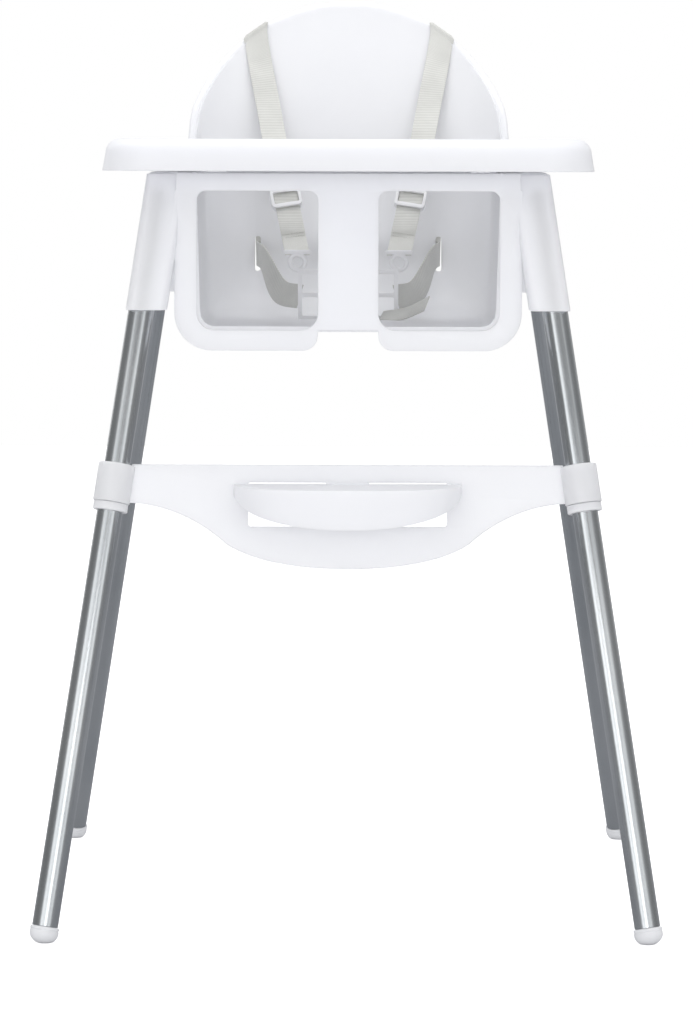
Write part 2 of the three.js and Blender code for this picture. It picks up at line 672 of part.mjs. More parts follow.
function makeTray() {
  const bottom = ARM_TOP + 1.5;
  const top = bottom + TRAY_HEIGHT;
  const deckTop = top - TRAY_RECESS;
  const underside = deckTop - TRAY_WALL;
  const rest = ARM_TOP + TOUCH_GAP;
  const steps = CORNER_STEPS + 2;
  const recess = trayOutline(TRAY_DRAFT + TRAY_ROUND + TRAY_BORDER);
  const hollow = trayOutline(TRAY_DRAFT + TRAY_WALL);
  let tray = toSolid(trayBody(bottom, top));
  tray = tray.subtract(toSolid(upright(recess, deckTop, top + 5, steps)));
  tray = tray.subtract(toSolid(upright(hollow, bottom - 5, underside, steps)));
  // Ribs that rest on the arms, and ribs that locate the tray just inside them.
  const insideArm = SEAT_HALF_WIDTH - SLIDE_GAP;
  const locate = ARM_TOP - RIB_REACH;
  const roof = underside + 1;
  for (const side of [-1, 1]) {
    const resting = side * (insideArm + SHELL_WALL + RIB_SPREAD - TRAY_WALL / 2);
    const locating = side * (insideArm - TRAY_WALL / 2);
    const half = TRAY_WALL / 2;
    tray = tray.add(toSolid(block(resting - half, resting + half, RIB_FRONT, RIB_REAR, rest, roof)));
    tray = tray.add(toSolid(block(
      locating - half, locating + half, RIB_FRONT + 10, RIB_REAR - 20, locate, roof,
    )));
  }
  const frontRib = FRONT_INNER + 1;
  const ribHalf = SEAT_HALF_WIDTH - 28;
  return tray.add(toSolid(block(-ribHalf, ribHalf, frontRib, frontRib + TRAY_WALL, locate, roof)));
}

addPart(highChair, 'tray', makeTray(), whitePlastic);

// ---------------------------------------------------------------- footrest

const RING_BORE = TUBE_RADIUS + TOUCH_GAP + COLLET_WALL + TOUCH_GAP;
const RING_RADIUS = RING_BORE + RING_WALL;
const ringBottom = REST_TOP - REST_RING_LENGTH;
const frontLegs = legs.filter((leg) => leg.end < 0);

// The footrest's panel lies in the plane of the two front legs; depth is measured from that plane.
function leanWithLegs(geometry) {
  const base = frontLegs[0].at(REST_TOP);
  const lean = new THREE.Matrix4().set(
    1, 0, 0, 0,
    0, 1, FRONT_RAKE, base.y - FRONT_RAKE * REST_TOP,
    0, 0, 1, 0,
    0, 0, 0, 1,
  );
  return geometry.applyMatrix4(lean);
}

function panelOutline() {
  const legX = (height) => frontLegs[1].at(height).x;
  const top = REST_TOP;
  const bottom = REST_TOP - REST_DROP;
  const inner = legX(ringBottom) - RING_BORE;
  const shape = new THREE.Shape();
  shape.moveTo(-legX(top) + 6, top);
  shape.lineTo(-legX(ringBottom) + 6, ringBottom);
  shape.lineTo(-inner, ringBottom);
  const waist = REST_SHOULDER_SHARE * inner;
  const waistHeight = bottom + REST_BELLY;
  shape.bezierCurveTo(-0.84 * inner, ringBottom, -waist - 27, waistHeight + 24, -waist, waistHeight);
  shape.bezierCurveTo(-waist + 18, waistHeight - 12, -0.3 * inner, bottom, 0, bottom);
  shape.bezierCurveTo(0.3 * inner, bottom, waist - 18, waistHeight - 12, waist, waistHeight);
  shape.bezierCurveTo(waist + 27, waistHeight + 24, 0.84 * inner, ringBottom, inner, ringBottom);
  shape.lineTo(legX(ringBottom) - 6, ringBottom);
  shape.lineTo(legX(top) - 6, top);
  shape.closePath();
  return shape;
}

// The shelf seen from above: a shallow D in front of the panel.
function shelfOutline(inset, rear) {
  const half = SHELF_HALF_WIDTH - inset;
  const reach = SHELF_REACH - inset;
  const shape = new THREE.Shape();
  shape.moveTo(half, rear);
  shape.lineTo(-half, rear);
  shape.bezierCurveTo(-half, -0.75 * reach, -0.62 * half, -reach, 0, -reach);
  shape.bezierCurveTo(0.62 * half, -reach, half, -0.75 * reach, half, rear);
  shape.closePath();
  return shape;
}

function makeFootrest() {
  const half = REST_WALL / 2;
  const surface = REST_TOP - SHELF_DROP;
  const holeTop = surface + SLOT_HEIGHT;
  const holeBottom = REST_TOP - SHELF_HOLE_DROP;
  let rest = toSolid(leanWithLegs(alongY(panelOutline(), -half, half, 14)));
  const holeHalf = SHELF_HOLE_HALF_WIDTH;
  const hole = roundedOutline(-holeHalf, holeHalf, holeBottom, holeTop, 2);
  rest = rest.subtract(toSolid(leanWithLegs(alongY(hole, -20, 20))));
  const face = frontLegs[0].at(surface).y - half;
  const slab = upright(shelfOutline(0, 0), surface - SKIRT_HEIGHT, surface, 12);
  const shelf = toSolid(slab.translate(0, face, 0));
  const hollow = toSolid(upright(
    shelfOutline(REST_WALL, 20), surface - SKIRT_HEIGHT - 5, surface - REST_WALL, 12,
  ).translate(0, face, 0));
  const faceOutline = roundedOutline(
    -SHELF_HALF_WIDTH, SHELF_HALF_WIDTH, surface - SKIRT_HEIGHT, surface, SKIRT_CORNER, 3,
  );
  const ends = toSolid(alongY(faceOutline, face - SHELF_REACH - 5, face + 5));
  rest = rest.add(shelf.subtract(hollow).intersect(ends));
  const bridgeBack = frontLegs[0].at(surface).y;
  rest = rest.add(toSolid(block(
    -SHELF_BRIDGE, SHELF_BRIDGE, bridgeBack - 3, bridgeBack + half + 1,
    surface - REST_WALL, holeTop + 1,
  )));
  for (const leg of frontLegs) {
    rest = rest.add(toSolid(leg.placed(rod(RING_RADIUS, leg.reach(ringBottom), leg.reach(REST_TOP)))));
  }
  for (const leg of frontLegs) {
    const bore = rod(RING_BORE, leg.reach(ringBottom) - 20, leg.reach(REST_TOP) + 20);
    rest = rest.subtract(toSolid(leg.placed(bore)));
  }
  return rest;
}

addPart(highChair, 'footrest', makeFootrest(), whitePlastic);

// A split bush that wedges between the footrest's ring and the tube.
function collet(leg) {
  const bore = TUBE_RADIUS + TOUCH_GAP;
  const sleeve = bore + COLLET_WALL;
  const top = leg.reach(ringBottom) - TOUCH_GAP;
  const body = toSolid(rod(sleeve, top - COLLET_HEAD, top - COLLET_HEAD + COLLET_LENGTH));
  const head = toSolid(rod(RING_RADIUS - 1, top - COLLET_HEAD, top));
  let bush = body.add(head).subtract(toSolid(rod(bore, top - 60, top + 60)));
  const cut = COLLET_CUT / 2;
  bush = bush.subtract(toSolid(block(-60, 60, -cut, cut, top + 2, top + 60)));
  return bush.subtract(toSolid(block(-cut, cut, -60, 60, top + 2, top + 60)));
}

for (const leg of frontLegs) {
  addPart(leg.group, `footrest_collet_${leg.side < 0 ? 'left' : 'right'}`, collet(leg), whitePlastic);
}

// ---------------------------------------------------------------- harness

const wallAt = (height) => insideBack(height);
const rearWallAt = (height) => insideBack(height) + SHELL_WALL;
const webStandoff = WEB_THICKNESS / 2 + 1;
const slotLevel = SEAT_HEIGHT + WAIST_SLOT_RISE;
const buckleBottom = SEAT_HEIGHT + BUCKLE_RISE;
const buckleTop = buckleBottom + BUCKLE_HEIGHT;
const clipInner = BUCKLE_HALF_WIDTH + TOUCH_GAP;
const clipBottom = SEAT_HEIGHT + 2;
const clipTop = clipBottom + CLIP_HEIGHT;

// The belt behind the back, clear of the leaning wall at its upper edge.
const behindWall = rearWallAt(WAIST_SLOT_RISE + WEB_WIDTH / 2) + webStandoff;
const behindBelt = behindWall + 2 * webStandoff;

// Straight stretch of each shoulder strap, where its slider runs.
const sliderRun = {
  high: [73, wallAt(ARM_RISE + 10) - 42, ARM_TOP + 10],
  low: [56, BUCKLE_Y + 40, buckleTop + 22],
};

// A point of that stretch; share runs from 0 at its lower end to 1 at its upper end.
function runPoint(side, share) {
  const [x, y, z] = sliderRun.low.map((low, i) => low + (sliderRun.high[i] - low) * share);
  return new THREE.Vector3(side * x, y, z);
}

function shoulderStations(side) {
  const topX = 98;
  const edge = Math.sqrt(BACK_RADIUS ** 2 - topX ** 2);
  const edgeHeight = BACK_CENTRE + edge - SEAT_HEIGHT;
  const tangent = [edge / BACK_RADIUS, 0, (-side * topX) / BACK_RADIUS];
  const flat = [1, 0, 0];
  const station = (x, y, height, across) => ({ at: [side * x, y, SEAT_HEIGHT + height], across });
  return [
    station(84, behindBelt + 2, WAIST_SLOT_RISE - 8, flat),
    station(85, behindBelt + 5, WAIST_SLOT_RISE + 20, flat),
    station(87, RIM_REAR + 4, ARM_RISE - ARM_DEPTH / 2, flat),
    station(90, RIM_REAR + 9, ARM_RISE + 30, flat),
    station(topX - 3, rearWallAt(edgeHeight - 30) + 17, edgeHeight - 30, tangent),
    station(topX, rearWallAt(edgeHeight) + 9, edgeHeight + 9, tangent),
    station(topX, wallAt(edgeHeight) - 1, edgeHeight + 10, tangent),
    station(topX - 2, wallAt(edgeHeight) - STRAP_LIFT * WEB_WIDTH, edgeHeight - 12, tangent),
    station(85, wallAt(220) - 16, 220, flat),
    ...[1, 0.9, 0.1, 0].map((share) => ({ at: runPoint(side, share).toArray(), across: flat })),
    { at: [side * 52, BUCKLE_Y + 20, buckleTop + 4], across: flat },
  ];
}

function strapSlider(side) {
  const along = runPoint(side, 1).sub(runPoint(side, 0)).normalize();
  const xAxis = new THREE.Vector3(1, 0, 0).addScaledVector(along, -along.x).normalize();
  const outwards = new THREE.Vector3().crossVectors(along, xAxis);
  const webHalf = WEB_WIDTH / 2 + SLIDE_GAP;
  const half = webHalf + SLIDER_BAR * 0.7;
  const end = SLIDER_LENGTH / 2;
  const skin = WEB_THICKNESS / 2 + SLIDE_GAP + 0.4;
  const plate = SLIDER_PLATE;
  const front = join(
    block(-half, half, -skin - plate, -skin, end - SLIDER_BAR, end),
    block(-half, half, -skin - plate, -skin, -end, -end + SLIDER_BAR),
    block(-half, -webHalf, -skin - plate, skin + plate, -end, end),
    block(webHalf, half, -skin - plate, skin + plate, -end, end),
    block(-half, half, skin, skin + plate, -SLIDER_BAR / 2, SLIDER_BAR / 2),
  );
  const turn = new THREE.Matrix4().makeBasis(xAxis, outwards, along);
  turn.setPosition(runPoint(side, 0.5));
  return toGeometry(front).applyMatrix4(turn);
}

function hookFitting(side) {
  const centre = new THREE.Vector3(side * 52, BUCKLE_Y + 14, buckleTop - 3);
  const ring = toSolid(rod(10, -2.5, 2.5, 24)).subtract(toSolid(rod(5.5, -5, 5, 24)));
  const bar = toSolid(block(-14, 14, 8, 12.5, -2.5, 2.5));
  const plate = ring.add(bar);
  const turn = new THREE.Matrix4().makeRotationX(Math.PI / 2).setPosition(centre);
  return toGeometry(plate).applyMatrix4(turn);
}

// A frame with two windows, and a tongue that goes into the side of the buckle.
function ladderClip(side) {
  const outer = clipInner + CLIP_WIDTH;
  const shape = roundedOutline(clipInner, outer, clipBottom, clipTop, 3);
  const window = (low, high) => {
    shape.holes.push(roundedOutline(clipInner + CLIP_BAR, outer - CLIP_BAR, low, high, 1.5));
  };
  const middle = (clipBottom + clipTop) / 2;
  window(clipBottom + CLIP_BAR, middle - CLIP_BAR / 2);
  window(middle + CLIP_BAR / 2, clipTop - CLIP_BAR);
  const near = BUCKLE_Y - CLIP_THICKNESS / 2;
  const far = BUCKLE_Y + CLIP_THICKNESS / 2;
  const tongue = block(
    clipInner - TONGUE_LENGTH, clipInner + 1, near, far,
    middle - TONGUE_HALF_WIDTH, middle + TONGUE_HALF_WIDTH,
  );
  const clip = toGeometry(join(alongY(shape, near, far), tongue));
  if (side < 0) clip.rotateZ(Math.PI).translate(0, 2 * BUCKLE_Y, 0);
  return clip;
}

function makeBuckle() {
  const outline = roundedOutline(-BUCKLE_HALF_WIDTH, BUCKLE_HALF_WIDTH, buckleBottom, buckleTop, 9);
  const near = BUCKLE_Y - BUCKLE_DEPTH / 2;
  const far = BUCKLE_Y + BUCKLE_DEPTH / 2;
  const middle = (clipBottom + clipTop) / 2;
  let buckle = toSolid(alongY(outline, near, far));
  const pocketHalf = CLIP_THICKNESS / 2 + TOUCH_GAP;
  const pocketRise = TONGUE_HALF_WIDTH + TOUCH_GAP;
  for (const side of [-1, 1]) {
    const deep = side * (clipInner - TONGUE_LENGTH - TOUCH_GAP);
    const open = side * (BUCKLE_HALF_WIDTH + 5);
    buckle = buckle.subtract(toSolid(block(
      Math.min(deep, open), Math.max(deep, open),
      BUCKLE_Y - pocketHalf, BUCKLE_Y + pocketHalf, middle - pocketRise, middle + pocketRise,
    )));
  }
  const press = rod(RELEASE_RADIUS + SLIDE_GAP, -5, 5, 24).rotateX(Math.PI / 2);
  buckle = buckle.subtract(toSolid(press.translate(0, near, middle)));
  const webHalf = WEB_WIDTH / 2 + 1;
  return buckle.subtract(toSolid(block(
    -webHalf, webHalf, BUCKLE_Y - 2, BUCKLE_Y + 2, buckleBottom - 5, buckleBottom + 10,
  )));
}

function releaseButton() {
  const near = BUCKLE_Y - BUCKLE_DEPTH / 2;
  const middle = (clipBottom + clipTop) / 2;
  const press = turned([
    [0, -1.5], [RELEASE_RADIUS, -1.5], [RELEASE_RADIUS, 0.8], [RELEASE_RADIUS - 1, 1.8], [0, 1.8],
  ], 24);
  return press.rotateX(Math.PI / 2).translate(0, near, middle);
}

// One belt: from one clip, through its slot, behind the back and out to the other clip.
function waistStations() {
  const upright = [0, 0, 1];
  const half = (side) => {
    const x = (value) => side * value;
    const middle = (clipBottom + clipTop) / 2;
    const wall = wallAt(WAIST_SLOT_RISE);
    return [
      { at: [x(clipInner + CLIP_WIDTH + 3), BUCKLE_Y + 14, middle - 4], across: [x(-0.5), 0, 1] },
      { at: [x(72), BUCKLE_Y + 34, middle + 4], across: [x(-0.35), 0, 1] },
      { at: [x(WAIST_SLOT_X - 5), wall - 40, slotLevel - 3], across: upright },
      { at: [x(WAIST_SLOT_X), wall - 20, slotLevel], across: upright },
      { at: [x(WAIST_SLOT_X), wall - 2, slotLevel], across: upright },
      { at: [x(WAIST_SLOT_X - 5), behindWall + 1, slotLevel], across: upright },
      { at: [x(WAIST_SLOT_X - 28), behindWall + 1, slotLevel], across: upright },
    ];
  };
  return [...half(-1), { at: [0, behindWall, slotLevel], across: upright }, ...half(1).reverse()];
}

// From a keeper under the seat, up through its slot to the buckle.
function crotchStations() {
  const flat = [1, 0, 0];
  return [
    { at: [0, CROTCH_SLOT_Y, SEAT_HEIGHT - SHELL_WALL - 9], across: flat },
    { at: [0, CROTCH_SLOT_Y, SEAT_HEIGHT + 2], across: flat },
    { at: [0, (CROTCH_SLOT_Y + BUCKLE_Y) / 2, SEAT_HEIGHT + 11], across: flat },
    { at: [0, BUCKLE_Y - 1, buckleBottom - 3], across: flat },
    { at: [0, BUCKLE_Y, buckleBottom + 8], across: flat },
  ];
}

function keeperBar() {
  const half = WEB_WIDTH / 2 + 9;
  const top = SEAT_HEIGHT - SHELL_WALL - TOUCH_GAP;
  const webHalf = WEB_WIDTH / 2 + 1;
  const slot = SLOT_OPENING / 2;
  const y = CROTCH_SLOT_Y;
  const bar = toSolid(block(-half, half, y - 8, y + 8, top - 4, top));
  return bar.subtract(toSolid(block(-webHalf, webHalf, y - slot, y + slot, top - 9, top + 5)));
}

for (const side of [-1, 1]) {
  const word = side < 0 ? 'left' : 'right';
  addPart(highChair, `shoulder_strap_${word}`, ribbon(shoulderStations(side), 5), webbing);
  addPart(highChair, `strap_slider_${word}`, strapSlider(side), fittingPlastic);
  addPart(highChair, `hook_fitting_${word}`, hookFitting(side), fittingPlastic);
  addPart(highChair, `ladder_clip_${word}`, ladderClip(side), fittingPlastic);
}
addPart(highChair, 'waist_strap', ribbon(waistStations(), 6), webbing);
addPart(highChair, 'crotch_strap', ribbon(crotchStations(), 7), webbing);
addPart(highChair, 'crotch_keeper', keeperBar(), fittingPlastic);
addPart(highChair, 'buckle_body', makeBuckle(), fittingPlastic);
addPart(highChair, 'buckle_release', releaseButton(), fittingPlastic);

export default highChair;
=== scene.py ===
# %% [markdown]
# A baby high chair, step by step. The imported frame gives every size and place: one moulded seat on
# four splayed steel legs, a tray, a footrest and a webbing harness. Each cell models one piece the way
# a person would by hand: start from a primitive, shape it in edit mode, finish it with modifiers.

# %% Load the frame
import math

import bpy
from mathutils import Matrix, Vector


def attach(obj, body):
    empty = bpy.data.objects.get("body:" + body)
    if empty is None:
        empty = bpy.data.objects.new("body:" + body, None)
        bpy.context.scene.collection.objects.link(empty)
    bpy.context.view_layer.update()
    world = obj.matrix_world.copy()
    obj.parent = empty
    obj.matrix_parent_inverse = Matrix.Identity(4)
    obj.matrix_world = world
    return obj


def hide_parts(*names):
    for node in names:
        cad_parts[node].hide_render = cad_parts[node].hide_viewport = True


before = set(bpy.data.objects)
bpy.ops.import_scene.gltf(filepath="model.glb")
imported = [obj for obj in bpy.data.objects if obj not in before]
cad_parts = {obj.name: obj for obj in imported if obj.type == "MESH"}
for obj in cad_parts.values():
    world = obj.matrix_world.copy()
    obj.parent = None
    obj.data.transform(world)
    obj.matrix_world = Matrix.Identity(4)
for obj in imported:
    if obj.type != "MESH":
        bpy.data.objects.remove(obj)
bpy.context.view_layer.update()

# %% [markdown]
# Small helpers come first. An operator acts on whatever is selected, and the imported frame starts
# out selected, so every step begins by clearing the selection and naming its own object. The same few
# steps come back for every piece, and a helper for each keeps the later cells short.

# %% Helpers for objects and modifiers
MERGE = 0.00002  # points nearer than this are one point


def choose(piece):
    """Makes one object the only selected and active one."""
    bpy.ops.object.select_all(action="DESELECT")
    piece.select_set(True)
    bpy.context.view_layer.objects.active = piece


def edit(piece, how="VERT"):
    """Enters edit mode on one object with nothing selected."""
    choose(piece)
    bpy.ops.object.mode_set(mode="EDIT")
    bpy.ops.mesh.select_mode(type=how)
    bpy.ops.mesh.select_all(action="DESELECT")


def leave_edit():
    bpy.ops.object.mode_set(mode="OBJECT")


def modify(piece, kind, **settings):
    """Adds a modifier, sets it and applies it."""
    choose(piece)
    modifier = piece.modifiers.new(kind.lower(), kind)
    for name, value in settings.items():
        setattr(modifier, name, value)
    bpy.ops.object.modifier_apply(modifier=modifier.name)
    return piece


def combine(piece, other, operation):
    """A boolean with another object, which is then gone."""
    modify(piece, "BOOLEAN", object=other, operation=operation, solver="MANIFOLD")
    bpy.data.objects.remove(other)
    return piece


def cut(piece, other):
    return combine(piece, other, "DIFFERENCE")


def unite(piece, other):
    return combine(piece, other, "UNION")


def soften(piece, width, segments=3, angle=35):
    """Rounds every edge sharper than an angle."""
    return modify(
        piece, "BEVEL", width=width, segments=segments, limit_method="ANGLE",
        angle_limit=math.radians(angle), use_clamp_overlap=True,
    )


def face_out(piece):
    """Merges doubled points and turns every face outwards."""
    edit(piece)
    bpy.ops.mesh.select_all(action="SELECT")
    bpy.ops.mesh.remove_doubles(threshold=MERGE)
    bpy.ops.mesh.normals_make_consistent(inside=False)
    leave_edit()
    return piece


def smooth(piece, angle=40):
    """Shades a piece smooth, except over edges sharper than an angle."""
    choose(piece)
    bpy.ops.object.shade_smooth_by_angle(angle=math.radians(angle))


# %% [markdown]
# A few more helpers cover most shapes. An outline starts as a filled circle whose points are moved
# onto the wanted outline, and is then extruded. A lofted skin starts as a flat grid whose points are
# moved onto a surface given by a formula. A turned solid starts as a ring of points and is spun. All of
# them could be drawn point by point by hand; a formula keeps them exact and easy to change.

# %% Helpers for outlines and skins


def outline_solid(name, points, thickness):
    """Extrudes a closed outline of 3-D points by a vector, as one closed solid."""
    bpy.ops.mesh.primitive_circle_add(vertices=len(points), radius=1, fill_type="NGON")
    piece = bpy.context.object
    piece.name = name
    for vertex, point in zip(piece.data.vertices, points):
        vertex.co = point
    edit(piece, "FACE")
    bpy.ops.mesh.select_all(action="SELECT")
    bpy.ops.mesh.extrude_region_move(TRANSFORM_OT_translate={"value": thickness})
    leave_edit()
    return face_out(piece)


def skin(name, columns, rows, place):
    """A grid whose point at column share u and row share v is moved to place(u, v)."""
    bpy.ops.mesh.primitive_grid_add(x_subdivisions=columns, y_subdivisions=rows, size=2)
    piece = bpy.context.object
    piece.name = name
    for vertex in piece.data.vertices:
        u = (vertex.co.x + 1) / 2
        v = (vertex.co.y + 1) / 2
        vertex.co = place(u, v)
    return piece


def arc(centre, radius, start, stop, steps):
    """Points of an arc in a plane, as (x, y) pairs; angles in degrees."""
    angles = [math.radians(start + (stop - start) * k / steps) for k in range(steps + 1)]
    return [(centre[0] + radius * math.cos(a), centre[1] + radius * math.sin(a)) for a in angles]


def rounded_box(left, right, low, high, low_radius, high_radius=None, steps=8):
    """A rectangle with round corners, as (x, y) pairs."""
    top = low_radius if high_radius is None else high_radius
    return (
        arc((left + low_radius, low + low_radius), low_radius, 180, 270, steps)
        + arc((right - low_radius, low + low_radius), low_radius, 270, 360, steps)
        + arc((right - top, high - top), top, 0, 90, steps)
        + arc((left + top, high - top), top, 90, 180, steps)
    )


def bezier(start, first, second, stop, steps):
    """Points of a cubic curve, without its first point."""
    points = []
    for k in range(1, steps + 1):
        t = k / steps
        s = 1 - t
        weights = (s ** 3, 3 * s * s * t, 3 * s * t * t, t ** 3)
        points.append(tuple(
            sum(w * p[i] for w, p in zip(weights, (start, first, second, stop)))
            for i in range(len(start))
        ))
    return points


def front_view(points, y):
    """(x, z) pairs as points in the plane at that y."""
    return [Vector((x, y, z)) for x, z in points]


def top_view(points, z):
    """(x, y) pairs as points at that height."""
    return [Vector((x, y, z)) for x, y in points]


def box_solid(name, low, high):
    """A block between two corners, from the cube primitive."""
    middle = [(a + b) / 2 for a, b in zip(low, high)]
    bpy.ops.mesh.primitive_cube_add(size=1, location=middle)
    piece = bpy.context.object
    piece.name = name
    piece.scale = [b - a for a, b in zip(low, high)]
    bpy.ops.object.transform_apply(location=True, rotation=True, scale=True)
    return piece


def round_bar(name, start, stop, radius, sides=48):
    """A closed cylinder between two points."""
    start = Vector(start)
    run = Vector(stop) - start
    bpy.ops.mesh.primitive_cylinder_add(vertices=sides, radius=radius, depth=run.length)
    piece = bpy.context.object
    piece.name = name
    turn = run.to_track_quat("Z", "Y").to_matrix().to_4x4()
    piece.data.transform(Matrix.Translation(start + run / 2) @ turn)
    return piece


def turned_solid(name, outline, origin, direction, sides=48):
    """Spins an outline of (radius, height) pairs about an axis through origin, by the spin operator."""
    bpy.ops.mesh.primitive_circle_add(vertices=len(outline), radius=1)
    piece = bpy.context.object
    piece.name = name
    for vertex, (radius, height) in zip(piece.data.vertices, outline):
        vertex.co = (radius, 0, height)
    edit(piece)
    bpy.ops.mesh.select_all(action="SELECT")
    bpy.ops.mesh.spin(steps=sides, angle=2 * math.pi, center=(0, 0, 0), axis=(0, 0, 1), dupli=False)
    bpy.ops.mesh.remove_doubles(threshold=MERGE)
    bpy.ops.mesh.delete_loose()
    leave_edit()
    turn = Vector(direction).to_track_quat("Z", "Y").to_matrix().to_4x4()
    piece.data.transform(Matrix.Translation(Vector(origin)) @ turn)
    return face_out(piece)


# %% [markdown]
# The camera stands four metres in front of the chair, at the height of the tray, with a long lens, so
# that the legs hardly converge. A nearer camera with a short lens would fill the frame as well, but it
# would spread the feet. The room is a plain pale floor.

# %% Camera and floor
EYE_HEIGHT = 0.7687
EYE_DISTANCE = 4.129
EYE_SIDE = -0.00095
LENS = 142.2  # mm
SENSOR = 36  # mm
LOOK_DOWN = 5.256  # degrees
CAMERA_ROLL = 0.17  # degrees
FLOOR_SIZE = 12

bpy.ops.object.camera_add(location=(EYE_SIDE, -EYE_DISTANCE, EYE_HEIGHT))
camera = bpy.context.object
tilt = Matrix.Rotation(math.radians(90 - LOOK_DOWN), 4, "X")
roll = Matrix.Rotation(math.radians(CAMERA_ROLL), 4, "Z")
camera.rotation_euler = (tilt @ roll).to_euler()
camera.data.sensor_width = SENSOR
camera.data.lens = LENS
camera.data.clip_end = 50
bpy.context.scene.camera = camera
bpy.context.scene.view_settings.view_transform = "Standard"

bpy.ops.mesh.primitive_plane_add(size=FLOOR_SIZE)
floor = bpy.context.object
floor.name = "floor"
print("camera at", [round(v, 3) for v in camera.location], "with a", LENS, "mm lens")

# %% [markdown]
# White plastic needs soft light, or its edges disappear in glare. Three square lamps stand in front at
# seat height, so that they reach in under the tray, one hangs above and a weak one stands behind to
# shine a little through the thin walls. One strong lamp would be simpler, but it draws hard shadows.

# %% Soft light


def soft_light(name, place, target, size, power):
    """A square lamp aimed at a point; its size is in metres and its power in watts."""
    bpy.ops.object.light_add(type="AREA", location=place)
    lamp = bpy.context.object
    lamp.name = name
    lamp.data.size = size
    lamp.data.energy = power
    lamp.rotation_euler = (Vector(target) - Vector(place)).to_track_quat("-Z", "Y").to_euler()
    print(name, "lamp:", power, "W")


soft_light("key", (-1.5, -3.1, 0.8), (0, 0, 0.62), 1.6, 8.5)
soft_light("fill", (1.6, -3.0, 0.75), (0, 0, 0.62), 1.6, 7)
soft_light("front", (0, -3.6, 0.6), (0, 0, 0.65), 1.2, 12.5)
soft_light("top", (0, 0.3, 3.0), (0, 0.1, 0.5), 2.0, 26)
soft_light("behind", (0, 2.8, 1.2), (0, 0, 0.66), 2.4, 6)

# %% [markdown]
# The walls of the studio are plain white to look at, but the steel legs need something to reflect: they
# see darker corners and bright strips that stand at fixed directions in the room. Real strip lamps
# would do it too, but they would also light the plastic. Light Path tells the two kinds of ray apart.

# %% Studio walls
WALL_LIGHT = (0.78, 0.785, 0.8, 1)
STRIPS = [
    (0.0, 0.26), (0.12, 0.3), (0.2, 1.35), (0.28, 0.5), (0.5, 0.36), (0.76, 0.28), (0.84, 0.9),
    (0.9, 0.4), (1.0, 0.28),
]  # brightness from the left side of the room to the right


def link(tree, source, target):
    tree.links.new(source, target)


def add_node(tree, kind, **settings):
    """A shader node; settings name its properties, or its inputs by their labels."""
    node = tree.nodes.new("ShaderNode" + kind)
    for name, value in settings.items():
        if hasattr(node, name):
            setattr(node, name, value)
        else:
            node.inputs[name.replace("_", " ")].default_value = value
    return node


def ramp(tree, stops):
    """A colour ramp from (position, grey) pairs."""
    node = tree.nodes.new("ShaderNodeValToRGB")
    band = node.color_ramp
    while len(band.elements) < len(stops):
        band.elements.new(0.5)
    for element, (position, grey) in zip(band.elements, stops):
        element.position = position
        element.color = (grey, grey, grey, 1)
    return node


world = bpy.data.worlds.new("studio")
bpy.context.scene.world = world
world.use_nodes = True
room = world.node_tree
background = room.nodes["Background"]
direction = add_node(room, "TexCoord")
split = add_node(room, "SeparateXYZ")
link(room, direction.outputs["Generated"], split.inputs[0])
shifted = add_node(room, "MapRange", From_Min=-1.0, From_Max=1.0)
link(room, split.outputs["X"], shifted.inputs["Value"])
strips = ramp(room, STRIPS)
link(room, shifted.outputs[0], strips.inputs[0])
path = add_node(room, "LightPath")
soft = add_node(room, "Mix", data_type="RGBA")
soft.inputs["A"].default_value = WALL_LIGHT
link(room, path.outputs["Is Glossy Ray"], soft.inputs[0])
link(room, strips.outputs[0], soft.inputs["B"])
seen = add_node(room, "Mix", data_type="RGBA")
seen.inputs["B"].default_value = (1, 1, 1, 1)
link(room, path.outputs["Is Camera Ray"], seen.inputs[0])
link(room, soft.outputs["Result"], seen.inputs["A"])
link(room, seen.outputs["Result"], background.inputs["Color"])
print("studio walls:", len(room.nodes), "nodes")

# %% [markdown]
# The seat is one thin moulding. Its bucket has a flat bottom, upright sides, a leaning back and round
# corners between them. It could be carved from a block, but a shell this thin is cleaner as a skin. One
# formula gives the section at any height, and another how high the wall stands at each place along
# that section: to the arms at the sides, to the round top at the back.

# %% Sizes of the seat
SEAT_HEIGHT = 0.583
ARM_RISE = 0.154
ARM_DEPTH = 0.018
SEAT_FRONT = -0.168
FRONT_WALL = 0.015
SEAT_HALF_WIDTH = 0.148
ARM_FLARE = 0.004
SHELL_WALL = 0.0035
BACK_START = 0.1
BACK_RECLINE = 0.24
BACK_FILLET = 0.05
SIDE_FILLET = 0.017
PLAN_CORNER = 0.084
BACK_RADIUS = 0.172
BACK_CENTRE_RISE = 0.005
BACK_BLEND = 0.036
POST_HALF_WIDTH = 0.0295
LIP_WIDTH = 0.02
LIP_THICKNESS = 0.004
RIM_REAR = 0.152
RIM_CORNER = 0.042
RIM_WALL = 0.003
ROLL_RADIUS = 0.0042
SWEEP_FOOT = 0.054  # where the back's side edge leaves the arm
ARM_TOP = SEAT_HEIGHT + ARM_RISE
ARM_UNDERSIDE = ARM_TOP - ARM_DEPTH
BACK_CENTRE = ARM_TOP + BACK_CENTRE_RISE


def smooth_step(share):
    t = min(max(share, 0), 1)
    return t * t * (3 - 2 * t)


def fillet_inset(radius, height):
    """How far a quarter-round fillet still is from its wall at this height."""
    if height >= radius:
        return 0
    return radius - math.sqrt(max(radius * radius - (radius - height) ** 2, 0))


